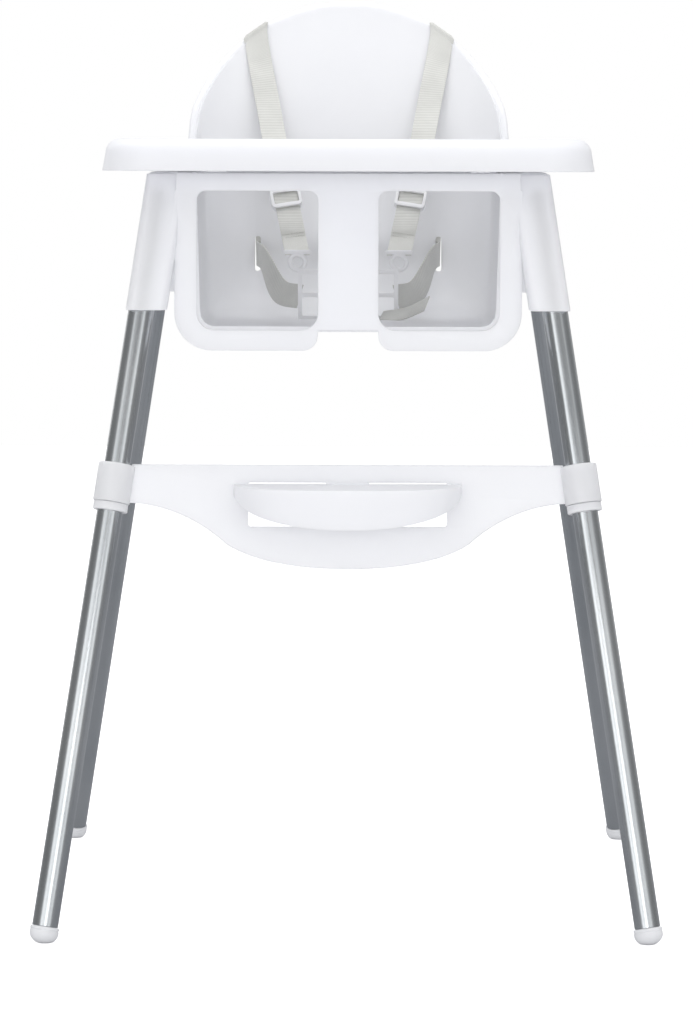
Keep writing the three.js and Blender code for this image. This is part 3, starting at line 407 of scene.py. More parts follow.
def half_width(height):
    """Half the bucket's inner width at a height above the seat bottom."""
    flare = ARM_FLARE * min(height / ARM_RISE, 1)
    widening = BACK_RADIUS - SHELL_WALL - SEAT_HALF_WIDTH - ARM_FLARE
    blend = smooth_step((height - ARM_RISE) / BACK_BLEND)
    return SEAT_HALF_WIDTH + flare + widening * blend - fillet_inset(SIDE_FILLET, height)


def back_at(height):
    """How far back the inner face of the back is at a height above the seat bottom."""
    return BACK_START + BACK_RECLINE * height - fillet_inset(BACK_FILLET, height)


SIDE_SHARE = 0.28  # share of the section that is the straight side
CORNER_SHARE = 0.15  # and the round corner


def section(u, height):
    """Inner face of the bucket at share u along its section, from the left front to the right front."""
    wide = half_width(height)
    back = back_at(height)
    radius = PLAN_CORNER * (0.6 + 0.4 * smooth_step(height / ARM_RISE))
    side = -1 if u < 0.5 else 1
    along = u if u < 0.5 else 1 - u
    if along < SIDE_SHARE:
        share = along / SIDE_SHARE
        return side * wide, SEAT_FRONT + (back - radius - SEAT_FRONT) * share
    if along < SIDE_SHARE + CORNER_SHARE:
        turn = (along - SIDE_SHARE) / CORNER_SHARE * math.pi / 2
        return side * (wide - radius + radius * math.cos(turn)), back - radius + radius * math.sin(turn)
    share = (along - SIDE_SHARE - CORNER_SHARE) / (0.5 - SIDE_SHARE - CORNER_SHARE)
    return side * (wide - radius) * (1 - share), back


SWEEP_END = (0.118, BACK_CENTRE + 0.2)  # how far back that edge gets, and above any wall
SWEEP = [SWEEP_END] + bezier(
    SWEEP_END, (SWEEP_END[0], BACK_CENTRE + 0.07), (0.104, ARM_TOP + 0.012),
    (SWEEP_FOOT, ARM_TOP - 0.002), 60,
)


def sweep_height(y):
    """Height of the back's side edge at this distance back."""
    if y <= SWEEP_FOOT:
        return ARM_TOP
    for (y1, z1), (y2, z2) in zip(SWEEP, SWEEP[1:]):
        if y2 <= y <= y1:
            return max(z2 + (z1 - z2) * (y - y2) / max(y1 - y2, 1e-9), ARM_TOP)
    return SWEEP_END[1]


def inside_outlines(u, height):
    """True while the wall at share u is inside the round top and the side edges."""
    x, y = section(u, height)
    z = SEAT_HEIGHT + height
    inner = BACK_RADIUS - ROLL_RADIUS
    return x * x + max(z - BACK_CENTRE, 0) ** 2 <= inner ** 2 and z <= sweep_height(y)


CLIMB = 0.004  # one step up while looking for the wall's top


def wall_top(u):
    """Height of the wall above the seat bottom at share u, by steps and then by halving."""
    low = ARM_RISE
    while low < ARM_RISE + 0.2 and inside_outlines(u, low + CLIMB):
        low += CLIMB
    high = low + CLIMB
    for _ in range(8):
        middle = (low + high) / 2
        if inside_outlines(u, middle):
            low = middle
        else:
            high = middle
    return low


print("back's top:", round(SEAT_HEIGHT + wall_top(0.5), 4), "m above the floor")

# %% [markdown]
# The bucket is the part that the child sits in. Its skin is a flat grid: one way along the grid goes
# round the section, the other goes from the middle of the bottom, up the fillet and up the wall. Each
# point is moved to its place, and a Solidify modifier gives the skin its wall.

# %% The bucket
FLOOR_ROWS = 0.12  # share of the rows on the flat bottom
FILLET_ROWS = 0.2  # share of the rows up to the top of the fillet
BUCKET_COLUMNS = 150
BUCKET_ROWS = 84
tops = {}


def smooth_top(u):
    """The wall's top, averaged over its neighbours so that its edge has no steps."""
    key = round(u, 6)
    if key not in tops:
        near = [min(max(u + k * 0.003, 0), 1) for k in (-1, 0, 1)]
        tops[key] = sum(wall_top(share) for share in near) / len(near)
    return tops[key]


def bucket_point(u, v):
    if v < FLOOR_ROWS:
        share = v / FLOOR_ROWS
        x, y = section(u, 0)
        return x * share, SEAT_FRONT + (y - SEAT_FRONT) * share, SEAT_HEIGHT
    if v < FILLET_ROWS:
        turn = (v - FLOOR_ROWS) / (FILLET_ROWS - FLOOR_ROWS) * math.pi / 2
        height = BACK_FILLET * (1 - math.cos(turn))
    else:
        share = (v - FILLET_ROWS) / (1 - FILLET_ROWS)
        height = BACK_FILLET + (smooth_top(u) - BACK_FILLET) * share
    x, y = section(u, height)
    return x, y, SEAT_HEIGHT + height


def make_bucket():
    bucket = skin("bucket", BUCKET_COLUMNS, BUCKET_ROWS, bucket_point)
    face_out(bucket)
    return modify(bucket, "SOLIDIFY", thickness=SHELL_WALL, offset=1, use_even_offset=True)


seat = make_bucket()
seat.name = "seat_moulding"
print("bucket:", len(seat.data.polygons), "faces")

# %% [markdown]
# The top edge of the back is rolled over for stiffness and for a soft edge. A bead that follows the
# wall's own top gives that roll: a grid wrapped round the path, with its two ends filled.

# %% Rolled edge of the back
ROLL_START = 0.19  # share of the section where the roll may begin
ROLL_STEPS = 120


def carried_frames(path):
    """For each point of a path: the point and two directions across it, carried along without twist."""
    frames = []
    side = Vector((1, 0, 0))
    for k, point in enumerate(path):
        ahead = (path[min(k + 1, len(path) - 1)] - path[max(k - 1, 0)]).normalized()
        side = (side - ahead * side.dot(ahead)).normalized()
        frames.append((point, side, ahead.cross(side)))
    return frames


def close_ends(piece):
    """Merges the seam of a wrapped grid, then fills the loops that stay open."""
    edit(piece)
    bpy.ops.mesh.select_all(action="SELECT")
    bpy.ops.mesh.remove_doubles(threshold=MERGE)
    bpy.ops.mesh.select_all(action="DESELECT")
    bpy.ops.mesh.select_non_manifold()
    bpy.ops.mesh.fill_holes(sides=0)
    leave_edit()
    return face_out(piece)


def bead(name, path, radius, sides=16):
    """A closed round bead along a list of points."""
    frames = carried_frames(path)

    def place(u, v):
        point, side, up = frames[round(u * (len(path) - 1))]
        angle = v * 2 * math.pi
        return point + radius * (math.cos(angle) * side + math.sin(angle) * up)

    return close_ends(skin(name, len(path) - 1, sides, place))


def rim_path():
    path = []
    for k in range(ROLL_STEPS + 1):
        u = ROLL_START + (1 - 2 * ROLL_START) * k / ROLL_STEPS
        height = smooth_top(u)
        if height <= ARM_RISE + 0.0008:
            continue
        x, y = section(u, height)
        out = SHELL_WALL / 2
        path.append(Vector((x * (1 + out / BACK_RADIUS), y + out, SEAT_HEIGHT + height)))
    first, last = path[0], path[-1]
    path.insert(0, Vector((first.x, first.y - 0.01, ARM_TOP - 0.004)))
    path.append(Vector((last.x, last.y - 0.01, ARM_TOP - 0.004)))
    return path


roll = bead("roll", rim_path(), ROLL_RADIUS)
print("rolled edge:", len(roll.data.polygons), "faces")

# %% [markdown]
# The front is a flat plate with the two holes for the child's legs, a thicker crotch post between them
# and the arch's bar above. Its outline could be extruded in one step, but its parts differ in depth. So
# an outline and three blocks are joined, the holes are cut, and the edges are softened.

# %% Front plate, crotch post and arch
LEG_HOLE_TOP_RADIUS = 0.009
LIP_OUTER = SEAT_HALF_WIDTH + LIP_WIDTH + 0.002
LIP_CORNER = LIP_WIDTH + SIDE_FILLET
LIP_TIP = 0.015
PLATE_FRONT = SEAT_FRONT - LIP_THICKNESS
ARCH_TOP = ARM_TOP - 0.001
ARCH_HALF_WIDTH = 0.168
EDGE_ROUND = 0.0013


def plate_outline():
    low = SEAT_HEIGHT - LIP_WIDTH
    half = [(POST_HALF_WIDTH, SEAT_HEIGHT)]
    half += arc((POST_HALF_WIDTH + LIP_TIP, low + LIP_TIP), LIP_TIP, 180, 270, 8)
    half += arc((LIP_OUTER - LIP_CORNER, low + LIP_CORNER), LIP_CORNER, 270, 360, 16)
    half.append((LIP_OUTER, ARM_UNDERSIDE + 0.001))
    return half + [(-x, z) for x, z in reversed(half)]


def make_front():
    front = outline_solid("front", front_view(plate_outline(), PLATE_FRONT), (0, LIP_THICKNESS + 0.001, 0))
    deep = SEAT_FRONT + FRONT_WALL
    post = (POST_HALF_WIDTH + 0.012, deep, ARM_UNDERSIDE + 0.002)
    unite(front, box_solid("post", (-post[0], PLATE_FRONT, SEAT_HEIGHT - 0.0015), post))
    inner = (SEAT_HALF_WIDTH + 0.002, deep, ARM_UNDERSIDE + 0.004)
    unite(front, box_solid("inner", (-inner[0], PLATE_FRONT, ARM_UNDERSIDE - 0.012), inner))
    bar = (ARCH_HALF_WIDTH, deep, ARCH_TOP)
    unite(front, box_solid("bar", (-bar[0], PLATE_FRONT, ARM_UNDERSIDE), bar))
    for side in (-1, 1):
        near, far = sorted((side * POST_HALF_WIDTH, side * SEAT_HALF_WIDTH))
        hole = rounded_box(near, far, SEAT_HEIGHT, ARM_UNDERSIDE, SIDE_FILLET, LEG_HOLE_TOP_RADIUS)
        cut(front, outline_solid("hole", front_view(hole, PLATE_FRONT - 0.01), (0, 0.05, 0)))
    return soften(front, EDGE_ROUND, 3, 50)


front = make_front()
print("front plate:", len(front.data.polygons), "faces")

# %% [markdown]
# The arm rim runs round the bucket at elbow height. It is a channel open downwards, as such rims are,
# because a mould can't make a closed tube. It is made as a thick plate with its underside hollowed out,
# and the bucket's own opening is cut through it, so that rim and bucket share one edge.

# %% Arm rim
RIM_HALF_WIDTH = 0.1968
SECTION_STEPS = 80


def rim_outline(inset):
    return rounded_box(
        -RIM_HALF_WIDTH + inset, RIM_HALF_WIDTH - inset, SEAT_FRONT + inset, RIM_REAR - inset,
        RIM_CORNER - inset, steps=14,
    )


def section_outline(height, offset):
    """The bucket's section at one height, pushed outwards by an offset."""
    points = [Vector(section(k / SECTION_STEPS, height)) for k in range(SECTION_STEPS + 1)]
    middle = Vector((0, SEAT_FRONT / 2 + 0.02))
    pushed = []
    for k, point in enumerate(points):
        ahead = points[min(k + 1, SECTION_STEPS)] - points[max(k - 1, 0)]
        away = Vector((ahead.y, -ahead.x)).normalized()
        if away.dot(point - middle) < 0:
            away = -away
        pushed.append(tuple(point + offset * away))
    return pushed


def make_rim():
    rim = outline_solid("rim", top_view(rim_outline(0), ARM_UNDERSIDE), (0, 0, ARM_DEPTH))
    soften(rim, 0.0035, 4, 60)
    hollow = outline_solid(
        "hollow", top_view(rim_outline(RIM_WALL), ARM_UNDERSIDE - 0.01), (0, 0, ARM_DEPTH + 0.01 - RIM_WALL),
    )
    keep = section_outline(ARM_RISE, SHELL_WALL)
    keep = [(x, y - 0.01 if y < SEAT_FRONT + 0.005 else y) for x, y in keep]
    cut(hollow, outline_solid("keep", top_view(keep, ARM_UNDERSIDE - 0.02), (0, 0, 0.04)))
    cut(rim, hollow)
    mouth = section_outline(ARM_RISE, -0.0005)
    front = SEAT_FRONT + FRONT_WALL
    mouth = [(x, max(y, front)) for x, y in mouth]
    return cut(rim, outline_solid("mouth", top_view(mouth, ARM_UNDERSIDE - 0.02), (0, 0, 0.06)))


rim = make_rim()
print("arm rim:", len(rim.data.polygons), "faces")

# %% [markdown]
# The four legs splay to the sides and rake forwards and back, so each has an axis of its own. They could
# be turned by hand, but tube, foot, button, socket and ring must all agree. A little class holds each
# leg's axes, and every piece of that leg asks it where things are.

# %% Leg axes
LEG_TOP_X = 0.182
LEG_TOP_Y = {-1: -0.15, 1: 0.125}  # front, rear
SPLAY = {-1: 0.149, 1: 0.1638}
RAKE = {-1: 0.2, 1: 0.234}
SOCKET_LENGTH = {-1: 0.134, 1: 0.128}
TUBE_RADIUS = 0.0125
TUBE_WALL = 0.0012
TUBE_STOP = 0.022
GAP = 0.0003
BUTTON_DROP = 0.08
BUTTON_RADIUS = 0.004
BUTTON_PLAY = 0.0004


class Leg:
    """One leg's axis; side is -1 on the left, end is -1 at the front."""

    def __init__(self, side, end):
        self.side = side
        self.end = end
        self.name = ("front" if end < 0 else "rear") + ("_left" if side < 0 else "_right")
        self.up = Vector((-side * SPLAY[end], -end * RAKE[end], 1))
        self.z_axis = self.up.normalized()
        self.x_axis = Vector((0, 1, 0)).cross(self.z_axis).normalized()
        self.y_axis = self.z_axis.cross(self.x_axis)
        self.stretch = self.up.length

    def at(self, height):
        """The point of the axis at this height."""
        top = Vector((self.side * LEG_TOP_X, LEG_TOP_Y[self.end], ARM_TOP))
        return top + self.up * (height - ARM_TOP)

    def inwards(self):
        """Across the leg, towards the middle of the chair."""
        return -self.end * self.y_axis

    def level(self, points, height):
        """Points given across the leg, moved along it to one height."""
        placed = []
        for x, y in points:
            point = self.at(height) + x * self.x_axis + y * self.y_axis
            placed.append(point + self.up * (height - point.z))
        return placed


legs = [Leg(side, end) for end in (-1, 1) for side in (-1, 1)]
print("feet at", [[round(v, 3) for v in leg.at(0).xy] for leg in legs])

# %% [markdown]
# Each leg goes into a socket under the arm rim that leans with it. A turned block would leave slanting
# ends. So the same outline stands at the socket's mouth and at its top, moved along the leg's axis, and
# both ends stay level.

# %% Sockets
SOCKET_OUTSIDE = TUBE_RADIUS + GAP + 0.002
SOCKET_INSIDE = 0.0395 - SOCKET_OUTSIDE
SOCKET_HALF_DEPTH = TUBE_RADIUS + GAP + 0.003
SOCKET_TOP = ARM_TOP - 0.0015


def make_socket(leg):
    left, right = sorted((leg.side * SOCKET_OUTSIDE, -leg.side * SOCKET_INSIDE))
    outline = rounded_box(left, right, -SOCKET_HALF_DEPTH, SOCKET_HALF_DEPTH, SOCKET_OUTSIDE * 0.6)
    mouth = ARM_TOP - SOCKET_LENGTH[leg.end]
    body = outline_solid("socket", leg.level(outline, mouth), leg.up * (SOCKET_TOP - mouth))
    return soften(body, 0.0012, 3, 50)


def socket_bore(leg):
    mouth = ARM_TOP - SOCKET_LENGTH[leg.end]
    return round_bar("bore", leg.at(mouth - 0.04), leg.at(ARM_TOP - TUBE_STOP + GAP), TUBE_RADIUS + GAP, 64)


def button_hole(leg, radius):
    middle = leg.at(ARM_TOP - BUTTON_DROP)
    return round_bar("button_hole", middle, middle + 0.04 * leg.inwards(), radius, 32)


sockets = [make_socket(leg) for leg in legs]
print("sockets:", [len(socket.data.polygons) for socket in sockets], "faces")

# %% [markdown]
# Every finished piece is told three things: the body it moves with, the part of the frame it stands
# for, and the finish it takes. One helper says all three, so that no piece is forgotten.

# %% Finishing a piece
finished = {}


def finish_piece(piece, body, slot, replaced=None, angle=40):
    """Shades a finished piece and registers it with the frame."""
    smooth(piece, angle)
    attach(piece, body)
    if replaced:
        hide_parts(replaced)
    finished[piece.name] = slot
    print(piece.name, "-", len(piece.data.polygons), "faces on", body)


# %% [markdown]
# On the real chair the bucket, rim, front and sockets come out of one mould. They could stay separate
# pieces that touch, but the seams would show. So they are joined into one moulding. Then the leg bores,
# the button holes and the slots for the webbing are cut, so that every opening is a real one.

# %% The seat moulding
WEB_WIDTH = 0.025
SLOT_HALF_LENGTH = WEB_WIDTH / 2 + 0.0055
SLOT_HALF_OPENING = 0.003
WAIST_SLOT_X = 0.0945
WAIST_SLOT_HEIGHT = SEAT_HEIGHT + 0.067
CROTCH_SLOT_Y = -0.024


def cut_webbing_slots(seat):
    for side in (-1, 1):
        slot = rounded_box(
            side * WAIST_SLOT_X - SLOT_HALF_OPENING, side * WAIST_SLOT_X + SLOT_HALF_OPENING,
            WAIST_SLOT_HEIGHT - SLOT_HALF_LENGTH, WAIST_SLOT_HEIGHT + SLOT_HALF_LENGTH, 0.0025,
        )
        cut(seat, outline_solid("slot", front_view(slot, 0.08), (0, 0.07, 0)))
    half = WEB_WIDTH / 2 + 0.002
    slot = rounded_box(
        -half, half, CROTCH_SLOT_Y - SLOT_HALF_OPENING, CROTCH_SLOT_Y + SLOT_HALF_OPENING, 0.0025,
    )
    cut(seat, outline_solid("slot", top_view(slot, SEAT_HEIGHT - 0.02), (0, 0, 0.03)))


for part in [rim, front, roll] + sockets:
    unite(seat, part)
for leg in legs:
    cut(seat, socket_bore(leg))
    cut(seat, button_hole(leg, BUTTON_RADIUS + BUTTON_PLAY))
cut_webbing_slots(seat)
finish_piece(seat, "chair", "white_plastic", "seat_shell", 35)

# %% [markdown]
# The tray is a shallow moulding that rests on the arms: its sides lean in, round over to a raised border
# and drop to the deck. A bevelled slab would miss the lean and the border. So its section is a short
# list of insets and heights, and one outline is drawn at each of them. The rings are wrapped into a
# skin, and its two ends, deck and underside, are filled. Ribs below it rest on the arms and locate it.

# %% Tray
TRAY_HALF_WIDTH = 0.239
TRAY_FRONT = -0.24
TRAY_REAR = 0.046
TRAY_CORNER = 0.052
TRAY_BOTTOM = ARM_TOP + 0.0015
TRAY_TOP = TRAY_BOTTOM + 0.031
TRAY_DECK = TRAY_TOP - 0.014
TRAY_UNDERSIDE = TRAY_DECK - 0.003
TRAY_DRAFT = 0.003
TRAY_ROUND = 0.014
TRAY_BORDER = 0.005
BELLY_RADIUS = 0.13
BELLY_OFFSET = 0.07
RIB = 0.003
RIB_DROP = 0.008  # how far the locating ribs reach below the arms' top
RESTING_RIB_OUT = 0.018
FRONT_RIB_HALF_LENGTH = 0.12


def tray_outline(inset):
    wide = TRAY_HALF_WIDTH - inset
    front = TRAY_FRONT + inset
    rear = TRAY_REAR - inset
    corner = TRAY_CORNER - inset
    rear_corner = corner * 0.7
    belly = BELLY_RADIUS + inset
    turn = math.degrees(math.asin((BELLY_OFFSET + inset) / belly))
    return (
        arc((-wide + corner, front + corner), corner, 180, 270, 14)
        + arc((wide - corner, front + corner), corner, 270, 360, 14)
        + arc((wide - rear_corner, rear - rear_corner), rear_corner, 0, 90, 10)
        + arc((0, TRAY_REAR + BELLY_OFFSET), belly, -turn, turn - 180, 40)
        + arc((-wide + rear_corner, rear - rear_corner), rear_corner, 90, 180, 10)
    )


def tray_profile():
    """(inset, height) pairs from the underside, round the rim, to the deck."""
    profile = [
        (0.009, TRAY_UNDERSIDE), (0.0066, TRAY_UNDERSIDE - 0.002), (0.0036, TRAY_BOTTOM + 0.0007),
        (0.003, TRAY_BOTTOM), (0.0006, TRAY_BOTTOM), (0, TRAY_BOTTOM + 0.0006),
    ]
    outside = (TRAY_DRAFT + TRAY_ROUND, TRAY_TOP - TRAY_ROUND)
    profile += arc(outside, TRAY_ROUND, 180, 90, 8)
    edge = TRAY_DRAFT + TRAY_ROUND + TRAY_BORDER
    profile += arc((edge - 0.003, TRAY_TOP - 0.003), 0.003, 90, 0, 5)
    profile += arc((edge + 0.006, TRAY_DECK + 0.006), 0.006, 180, 270, 6)
    return profile


def loft(name, rings):
    """A skin through rings of equally many points, wrapped round and filled at both ends."""
    count = len(rings[0])
    rows = len(rings) - 1

    def place(u, v):
        return rings[round(v * rows)][round(u * count) % count]

    return close_ends(skin(name, count, rows, place))


def make_tray():
    tray = loft("tray_moulding", [top_view(tray_outline(inset), z) for inset, z in tray_profile()])
    inside_arm = SEAT_HALF_WIDTH - 0.0004
    roof = TRAY_UNDERSIDE + 0.001
    for side in (-1, 1):
        resting = side * (inside_arm + SHELL_WALL + RESTING_RIB_OUT - RIB / 2)
        locating = side * (inside_arm - RIB / 2)
        for middle, front, rear, low in (
            (resting, -0.13, 0.04, ARM_TOP + GAP), (locating, -0.12, 0.02, ARM_TOP - RIB_DROP),
        ):
            rib = box_solid("rib", (middle - RIB / 2, front, low), (middle + RIB / 2, rear, roof))
            unite(tray, soften(rib, 0.0006, 2))
    near = SEAT_FRONT + FRONT_WALL + 0.001
    low = (-FRONT_RIB_HALF_LENGTH, near, ARM_TOP - RIB_DROP)
    rib = box_solid("rib", low, (FRONT_RIB_HALF_LENGTH, near + RIB, roof))
    return unite(tray, soften(rib, 0.0006, 2))


finish_piece(make_tray(), "tray", "white_plastic", "tray", 30)

# %% [markdown]
# A leg is a plain steel tube, open inside, with a hole near its top for a button. Two cylinders and a
# boolean would do, but an outline spun about the leg's axis also gives the ends their small burr.

# %% Leg tubes
FOOT_RADIUS = 0.014
FOOT_COLLAR = 0.004
FOOT_DOME = 0.0105
FOOT_PAD = 0.0012  # how much of the dome the floor cuts flat
CAP_TOP = 2 * FOOT_RADIUS * 0.45 + FOOT_COLLAR
TUBE_BORE = TUBE_RADIUS - TUBE_WALL
SPIGOT_LENGTH = 0.026
BURR = 0.0003


def tube_ends(leg):
    """The tube's lower and upper end, measured along the leg from the floor."""
    return CAP_TOP - FOOT_PAD + GAP, (ARM_TOP - TUBE_STOP) * leg.stretch


def make_tube(leg):
    low, high = tube_ends(leg)
    outline = [
        (TUBE_BORE, low + BURR), (TUBE_BORE + BURR, low), (TUBE_RADIUS - BURR, low),
        (TUBE_RADIUS, low + BURR), (TUBE_RADIUS, high - BURR), (TUBE_RADIUS - BURR, high),
        (TUBE_BORE + BURR, high), (TUBE_BORE, high - BURR),
    ]
    tube = turned_solid("tube_" + leg.name, outline, leg.at(0), leg.up, 72)
    return cut(tube, button_hole(leg, BUTTON_RADIUS + BUTTON_PLAY))


for leg in legs:
    low, high = tube_ends(leg)
    print(leg.name, "tube:", round(high - low, 4), "m long")

# %% [markdown]
# A plastic cap closes each leg at the floor. It is domed, so that it stands on any part of its edge, and
# a spigot holds it in the tube. It is turned as one outline, because everything about it is round, and
# the floor then cuts a small flat on the dome, as it wears on a real chair.

# %% Foot caps
GROOVE = 0.0005  # depth of the line round the cap
GROOVE_TOP = CAP_TOP - 0.0025
GROOVE_BOTTOM = CAP_TOP - 0.004
SPIGOT_TAPER = 0.002


def make_foot(leg):
    spigot = TUBE_BORE - GAP
    outline = [(0, 0)]
    outline += [(x, y + FOOT_DOME) for x, y in [
        (FOOT_RADIUS * math.sin(math.radians(a)), -FOOT_DOME * math.cos(math.radians(a)))
        for a in range(8, 91, 8)
    ]]
    outline += [(FOOT_RADIUS, GROOVE_BOTTOM), (FOOT_RADIUS - GROOVE, GROOVE_BOTTOM + GROOVE)]
    outline += [(FOOT_RADIUS - GROOVE, GROOVE_TOP - GROOVE), (FOOT_RADIUS, GROOVE_TOP)]
    outline += [(FOOT_RADIUS, CAP_TOP - 0.0008), (FOOT_RADIUS - 0.0008, CAP_TOP), (spigot, CAP_TOP)]
    top = CAP_TOP + SPIGOT_LENGTH
    outline += [(spigot, top - SPIGOT_TAPER), (spigot - SPIGOT_TAPER, top), (0, top)]
    low = leg.at(0) - FOOT_PAD * leg.z_axis
    foot = turned_solid("foot_" + leg.name, outline, low, leg.up, 64)
    x, y, _ = leg.at(0)
    return cut(foot, box_solid("ground", (x - 0.05, y - 0.05, -0.05), (x + 0.05, y + 0.05, 0)))


print("foot cap:", round(CAP_TOP - FOOT_PAD, 4), "m high, and a spigot of", SPIGOT_LENGTH, "m")

# %% [markdown]
# A sprung button locks each leg in its socket: it stands out through the tube and the socket, and is
# pushed in to free the leg. Its head is wider than its shank, so that it can't fall out. It is a turned
# shape again, spun about its own axis across the leg. Then each leg is made whole: tube, cap, button.

# %% Snap buttons
BUTTON_HEAD_RADIUS = 0.0055
BUTTON_HEAD = 0.0016
BUTTON_ROUND = 0.0018
BUTTON_SEAT = math.sqrt(TUBE_BORE ** 2 - BUTTON_HEAD_RADIUS ** 2) - GAP
BUTTON_TIP = SOCKET_HALF_DEPTH + 0.0015


def make_button(leg):
    head = BUTTON_SEAT - BUTTON_HEAD
    outline = [(0, head), (BUTTON_HEAD_RADIUS, head), (BUTTON_HEAD_RADIUS, BUTTON_SEAT)]
    outline += [(BUTTON_RADIUS, BUTTON_SEAT)]
    outline += arc((BUTTON_RADIUS - BUTTON_ROUND, BUTTON_TIP - BUTTON_ROUND), BUTTON_ROUND, 0, 90, 6)
    outline.append((0, BUTTON_TIP))
    middle = leg.at(ARM_TOP - BUTTON_DROP)
    return turned_solid("button_" + leg.name, outline, middle, leg.inwards(), 40)


for leg in legs:
    finish_piece(make_tube(leg), "chair", "steel", "leg_tube_" + leg.name)
    finish_piece(make_foot(leg), "chair", "foot_plastic", "foot_cap_" + leg.name)
    finish_piece(make_button(leg), "button_" + leg.name, "spring_steel", "snap_button_" + leg.name)

# %% [markdown]
# The footrest is a panel that leans with the front legs, with a ring round each leg and a shelf that
# stands out in front. It could be sculpted from one block, but its parts are plain when taken one by
# one. The panel is an outline drawn with curves. The shelf is a hollow, rounded D, open underneath, with
# a skirt that is deepest in the middle, and the window behind it goes right through the panel.

# %% Footrest
REST_TOP = 0.454
REST_BOTTOM = REST_TOP - 0.1
RING_BOTTOM = REST_TOP - 0.037
RING_BORE = TUBE_RADIUS + GAP + 0.0016 + GAP
RING_RADIUS = RING_BORE + 0.0032
REST_WALL = 0.004
WAIST_SHARE = 0.55
WAIST_HEIGHT = REST_BOTTOM + 0.024
SHELF_HALF_WIDTH = 0.111
SHELF_REACH = 0.078
SHELF_SURFACE = REST_TOP - 0.0185
SKIRT_BOTTOM = SHELF_SURFACE - 0.038
SKIRT_TIP = 0.006  # height of the skirt at its ends
SKIRT_ROUND = (0.1095, 0.031)  # width and height of the skirt's elliptical ends
SLOT_TOP = SHELF_SURFACE + 0.0014
WINDOW_HALF_WIDTH = 0.0965
WINDOW_BOTTOM = REST_TOP - 0.0595
BRIDGE_HALF_WIDTH = 0.021
front_legs = [leg for leg in legs if leg.end < 0]


def leaning(outline, offset):
    """(x, z) pairs placed on the legs' leaning plane, moved back by an offset."""
    return [Vector((x, front_legs[0].at(z).y + offset, z)) for x, z in outline]


def panel_outline():
    right = front_legs[1]
    inner = right.at(RING_BOTTOM).x - RING_BORE
    waist = WAIST_SHARE * inner
    half = [(right.at(REST_TOP).x - 0.006, REST_TOP), (right.at(RING_BOTTOM).x - 0.006, RING_BOTTOM)]
    half.append((inner, RING_BOTTOM))
    half += bezier(
        (inner, RING_BOTTOM), (0.84 * inner, RING_BOTTOM), (waist + 0.027, WAIST_HEIGHT + 0.024),
        (waist, WAIST_HEIGHT), 18,
    )
    half += bezier(
        (waist, WAIST_HEIGHT), (waist - 0.018, WAIST_HEIGHT - 0.012), (0.3 * inner, REST_BOTTOM),
        (0, REST_BOTTOM), 18,
    )
    return half + [(-x, z) for x, z in reversed(half[:-1])]


def leg_ring(leg, radius, low, high):
    return round_bar("ring", leg.at(low), leg.at(high), radius, 72)


def shelf_outline(inset, rear):
    """The shelf seen from above: a shallow D."""
    half = SHELF_HALF_WIDTH - inset
    reach = SHELF_REACH - inset
    points = [(half, rear), (-half, rear)]
    points += bezier((-half, rear), (-half, -0.75 * reach), (-0.62 * half, -reach), (0, -reach), 24)
    points += bezier((0, -reach), (0.62 * half, -reach), (half, -0.75 * reach), (half, rear), 24)
    return points[1:]


def make_shelf():
    face = front_legs[0].at(SHELF_SURFACE).y - REST_WALL / 2
    outline = [(x, y + face) for x, y in shelf_outline(0, 0.003)]
    shelf = outline_solid("shelf", top_view(outline, SKIRT_BOTTOM), (0, 0, SHELF_SURFACE - SKIRT_BOTTOM))
    tip = SHELF_SURFACE - SKIRT_TIP
    front = [(SHELF_HALF_WIDTH, SHELF_SURFACE), (-SHELF_HALF_WIDTH, SHELF_SURFACE)]
    front += [(-SHELF_HALF_WIDTH, tip)] + ellipse_corner(-1) + ellipse_corner(1)[::-1]
    front.append((SHELF_HALF_WIDTH, tip))
    ends = outline_solid("ends", front_view(front, face - 0.1), (0, 0.12, 0))
    combine(shelf, ends, "INTERSECT")
    soften(shelf, 0.005, 5, 50)
    hollow = [(x, y + face) for x, y in shelf_outline(REST_WALL, 0.02)]
    low = SKIRT_BOTTOM - 0.01
    height = SHELF_SURFACE - REST_WALL - low
    return cut(shelf, outline_solid("hollow", top_view(hollow, low), (0, 0, height)))


def ellipse_corner(side):
    """The lower corner of the shelf's skirt on one side, from its upper end to its lower end."""
    wide, tall = SKIRT_ROUND
    points = []
    for k in range(1, 13):
        angle = math.radians(90 * k / 13)
        x = SHELF_HALF_WIDTH - wide + wide * math.cos(angle)
        points.append((side * x, SKIRT_BOTTOM + tall - tall * math.sin(angle)))
    return points


def make_footrest():
    rest = outline_solid("footrest_moulding", leaning(panel_outline(), -REST_WALL / 2), (0, REST_WALL, 0))
    soften(rest, EDGE_ROUND, 3, 50)
    window = rounded_box(-WINDOW_HALF_WIDTH, WINDOW_HALF_WIDTH, WINDOW_BOTTOM, SLOT_TOP, 0.003, 0.002)
    cut(rest, outline_solid("window", leaning(window, -0.02), (0, 0.04, 0)))
    unite(rest, make_shelf())
    back = front_legs[0].at(SHELF_SURFACE).y
    low = (-BRIDGE_HALF_WIDTH, back - 0.003, SHELF_SURFACE - REST_WALL)
    high = (BRIDGE_HALF_WIDTH, back + REST_WALL / 2 - 0.0005, SLOT_TOP + 0.001)
    unite(rest, box_solid("bridge", low, high))
    for leg in front_legs:
        unite(rest, soften(leg_ring(leg, RING_RADIUS, RING_BOTTOM, REST_TOP), 0.0015, 4, 50))
    for leg in front_legs:
        cut(rest, leg_ring(leg, RING_BORE, RING_BOTTOM - 0.02, REST_TOP + 0.02))
    return rest


finish_piece(make_footrest(), "chair", "white_plastic", "footrest", 35)

